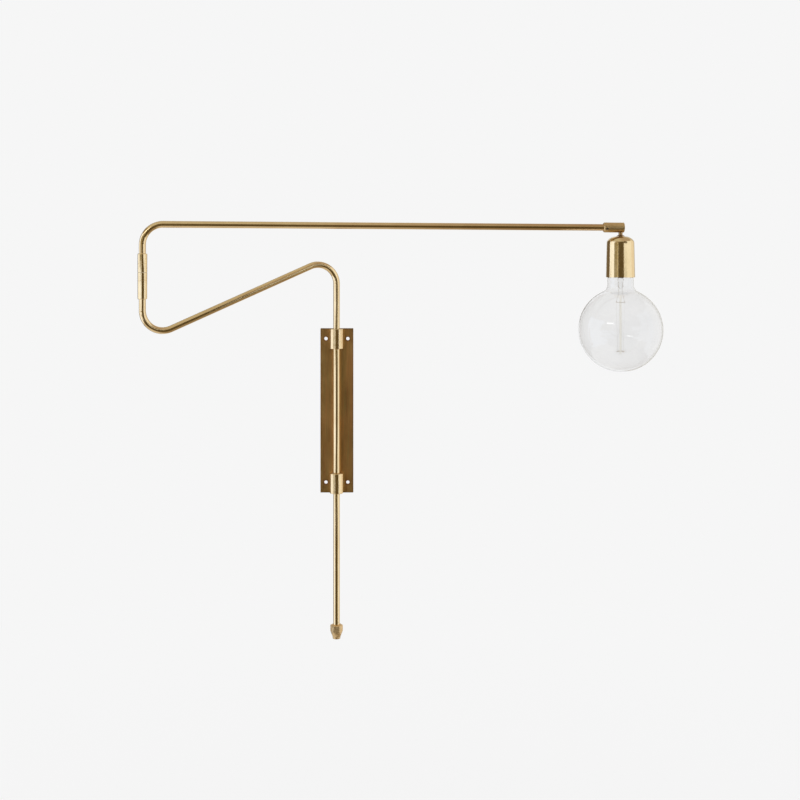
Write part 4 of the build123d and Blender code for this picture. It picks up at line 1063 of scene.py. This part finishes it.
def studio_object(bm, name):
    """Turns a bmesh into an object of the studio, which isn't part of the lamp."""
    mesh = bpy.data.meshes.new(name)
    bm.to_mesh(mesh)
    bm.free()
    made = bpy.data.objects.new(name, mesh)
    scene.collection.objects.link(made)
    return made


bm = bmesh.new()
bmesh.ops.create_grid(
    bm, x_segments=8, y_segments=8, size=FLOOR_HALF, matrix=Matrix.Translation((0, 0, FLOOR_HEIGHT))
)
floor = studio_object(bm, "floor")
floor.visible_glossy = False

pale, tree, shader, place = new_material("pale floor")
tree.nodes.remove(shader)
away = add_node(tree, "VectorMath", {0: place}, operation="LENGTH").outputs["Value"]
lit = add_node(tree, "BsdfDiffuse", {"Color": grey(FLOOR_GREY)})
brightness = remap(tree, away, NEAR, FAR, NEAR_GLOW, BACKGROUND)
glow = add_node(tree, "Emission", {"Color": grey(1.0), "Strength": brightness})
fade = calculate(tree, "MULTIPLY", seen_directly(tree), remap(tree, away, NEAR, FAR, NEAR_SHARE, 1.0))
surface = add_node(tree, "MixShader", {0: fade, 1: lit.outputs[0], 2: glow.outputs[0]})
below = add_node(tree, "NewGeometry").outputs["Backfacing"]
clear = add_node(tree, "BsdfTransparent")
ground = add_node(tree, "MixShader", {0: below, 1: surface.outputs[0], 2: clear.outputs[0]})
tree.links.new(ground.outputs[0], tree.nodes["Material Output"].inputs["Surface"])
paint(floor, pale)
print("floor at", FLOOR_HEIGHT, "m")

# %% [markdown]
# ## The studio
# Polished metal has no colour of its own to show: it shows the room. The photograph's room has a large
# white panel on each side, a dark space behind the camera with olive strips round it, pale boards in
# front above and below, and dim walls behind. Those are modelled as glowing cards, curved ones round the
# lamp and flat ones behind the camera. Metal and glass mirror them, but the camera doesn't see them, and
# they light no matt surface. Only the strip light, which draws the two small highlights on the globe, also
# shows through glass.

# %% Helpers for the cards
STUDIO_CENTRE, STUDIO_RADIUS = Vector((0.07, -0.07, 0)), 5.0
BEHIND_CAMERA, LEVEL_MIDDLE = -1.95, -1.0      # metres in front of the wall, where the flat cards are
TURNS_FROM, TURNS_TO = -0.3, 1.0               # from left to right, where a level card changes colour


def glowing(bm, name, colour, right_colour=None):
    """Makes a card from a bmesh. It shows in metal and on glass, but not to the camera."""
    made = studio_object(bm, name)
    made.visible_camera = made.visible_transmission = made.visible_shadow = made.visible_diffuse = False
    glow, tree, shader, place = new_material(name)
    tree.nodes.remove(shader)
    light = add_node(tree, "Emission", {"Color": (*colour, 1), "Strength": 1.0})
    if right_colour:
        across = add_node(tree, "SeparateXYZ", {0: place}).outputs["X"]
        change = remap(tree, across, TURNS_FROM, TURNS_TO, 0.0, 1.0)
        tree.links.new(mix_colour(tree, change, (*colour, 1), (*right_colour, 1)), light.inputs["Color"])
    tree.links.new(light.outputs[0], tree.nodes["Material Output"].inputs["Surface"])
    paint(made, glow)
    return made


def card(name, azimuth, elevation, colour, nearer=0.0):
    """A curved card, in degrees. Azimuth 0 is the camera's side and 90 is to the right."""
    distance = STUDIO_RADIUS - nearer
    bm = bmesh.new()
    start = math.radians(azimuth[0])
    foot = STUDIO_CENTRE + Vector((math.sin(start), -math.cos(start), 0)) * distance
    low, high = (
        bm.verts.new(foot + UP * distance * math.tan(math.radians(angle))) for angle in elevation
    )
    bm.edges.new((low, high))
    bmesh.ops.spin(
        bm, geom=bm.verts[:] + bm.edges[:], cent=STUDIO_CENTRE, axis=UP,
        angle=math.radians(azimuth[1] - azimuth[0]), steps=24,
    )
    return glowing(bm, name, colour)


def upright_card(name, across, height, colour, depth=BEHIND_CAMERA):
    """A flat card that faces the lamp, in metres. By default it stands just behind the camera."""
    bm = bmesh.new()
    half = Matrix.Diagonal(((across[1] - across[0]) / 2, (height[1] - height[0]) / 2, 1, 1))
    place = Matrix.Translation((sum(across) / 2, depth, sum(height) / 2)) @ TO_FRONT
    bmesh.ops.create_grid(bm, x_segments=1, y_segments=1, size=1.0, matrix=place @ half)
    return glowing(bm, name, colour)


def level_card(name, height, colour, right_colour):
    """A level card over or under the lamp, which changes colour from left to right."""
    bm = bmesh.new()
    place = Matrix.Translation((0, LEVEL_MIDDLE, height))
    bmesh.ops.create_grid(bm, x_segments=2, y_segments=2, size=STUDIO_RADIUS, matrix=place)
    return glowing(bm, name, colour, right_colour)


# %% Stand the softboxes and the walls of the room
ABOVE, ABOVE_RIGHT = (0.64, 0.61, 0.50), (0.50, 0.42, 0.34)
BELOW, BELOW_RIGHT = (0.74, 0.70, 0.64), (0.36, 0.29, 0.20)
DIM, DIM_ABOVE, DARK, OLIVE = (0.18, 0.14, 0.09), (0.36, 0.29, 0.19), (0.12, 0.09, 0.04), (0.33, 0.28, 0.15)
ROOM_HALF_HEIGHT = 4.0
card("left softbox", (-110, -55), (-35, 30), (1.25, 1.38, 1.65))
card("left softbox front", (-56, -10), (-35, 17), (1.15, 1.28, 1.52))
card("right softbox", (20, 90), (-35, 66), (1.10, 1.15, 1.20))
card("right softbox side", (90, 128), (-35, 66), (1.00, 0.97, 0.92))
card("pale front over it", (-55, 27), (17, 62), ABOVE, nearer=0.2)
card("pale front under it", (-55, 27), (-62, -28), BELOW, nearer=0.2)
card("dim back left", (-165, -110), (-35, 30), DIM)
card("dim above left", (-175, -38), (27, 66), DIM_ABOVE, nearer=0.1)
card("back right", (128, 163), (-35, 66), (0.64, 0.60, 0.52))
card("dim low back", (163, 190), (1, 14), DIM)
level_card("grey ceiling", ROOM_HALF_HEIGHT, ABOVE, ABOVE_RIGHT)
level_card("grey ground", -ROOM_HALF_HEIGHT, BELOW, BELOW_RIGHT)
strip = card("strip light", (-46, -24), (20.2, 24.2), (4.4, 4.4, 4.4), nearer=0.6)
strip.visible_transmission = True
print("strip light is", [round(x, 2) for x in strip.dimensions], "m")

# %% [markdown]
# ## The dark space behind the camera
# Every tube and the cup mirror it as their dark core, each from its own height, so its outline has steps.
# Olive strips cross the softboxes at a few heights, a pale gap lies to its left, and a small flag darkens
# one band over the globe.

# %% Stand the dark and olive cards behind the camera
OLIVE_FRONTS = [(2.0, 17), (-4.1, -1.6), (-13.9, -11.2)]       # elevations, from and to
DARK_STEPS = [
    (1.10, 0.60, -0.60, 1.60), (0.60, 0.21, -0.67, 0.90), (0.21, 0.03, -0.50, 2.20),
    (0.03, -0.12, -0.25, 1.45), (-0.12, -0.45, -0.85, 2.00), (-0.45, -0.66, -0.60, 1.30),
    (-0.66, -2.00, -1.75, 1.90),
]       # top, bottom, left and right
for number, elevation in enumerate(OLIVE_FRONTS):
    card("olive front %d" % number, (-62, 22), elevation, OLIVE, nearer=0.2)
card("olive right", (-14, 22), (-28, 17), OLIVE, nearer=0.1)
card("olive low right", (44, 74), (-36, -21.5), OLIVE, nearer=0.2)
for top, bottom, left, right in DARK_STEPS:
    upright_card("dark camera side %g" % bottom, (left, right), (bottom, top), DARK)
upright_card("dark high right", (1.12, 2.45), (0.58, 2.00), (0.18, 0.14, 0.07))
upright_card("light gap", (-0.80, -0.67), (0.21, 0.60), (1.1, 1.0, 0.68))
upright_card("flag over the globe", (-0.04, 0.25), (0.378, 0.49), (0.42, 0.34, 0.24), depth=-0.45)
print("dark steps behind the camera:", len(DARK_STEPS))

# %% [markdown]
# ## One soft lamp
# The cards only show in mirrors, so the world and one large soft lamp light the matt surfaces, and the
# lamp throws the shadow.

# %% Add one soft lamp over the object
LAMP_SIZE, LAMP_POWER, LAMP_PLACE = 1.6, 14.0, Vector((-0.5, -0.9, 2.2))
lamp_data = bpy.data.lights.new("soft top light", "AREA")
lamp_data.shape, lamp_data.size, lamp_data.energy = "DISK", LAMP_SIZE, LAMP_POWER
top_light = bpy.data.objects.new("soft top light", lamp_data)
top_light.location = LAMP_PLACE
top_light.rotation_euler = (STUDIO_CENTRE - LAMP_PLACE).to_track_quat("-Z", "Y").to_euler()
top_light.visible_camera = top_light.visible_glossy = top_light.visible_transmission = False
scene.collection.objects.link(top_light)
print("one lamp of", LAMP_POWER, "W")

# %% [markdown]
# ## The camera
# The upright lines of the photograph stay upright, so the camera looks level and its lens is shifted down
# instead of being tilted.

# %% Set the camera
LENS, SENSOR, SHIFT_DOWN, CAMERA_PLACE = 54.0, 36.0, 0.185, (0.098, -1.8666, 0.246)
camera_data = bpy.data.cameras.new("camera")
camera_data.lens, camera_data.sensor_width, camera_data.shift_y = LENS, SENSOR, -SHIFT_DOWN
camera = bpy.data.objects.new("camera", camera_data)
camera.location = CAMERA_PLACE
camera.rotation_euler = (math.radians(90), 0, 0)
scene.collection.objects.link(camera)
scene.camera = camera
scene.view_settings.view_transform = "Standard"
print("camera at", CAMERA_PLACE)

# %% Update the scene
bpy.context.view_layer.update()
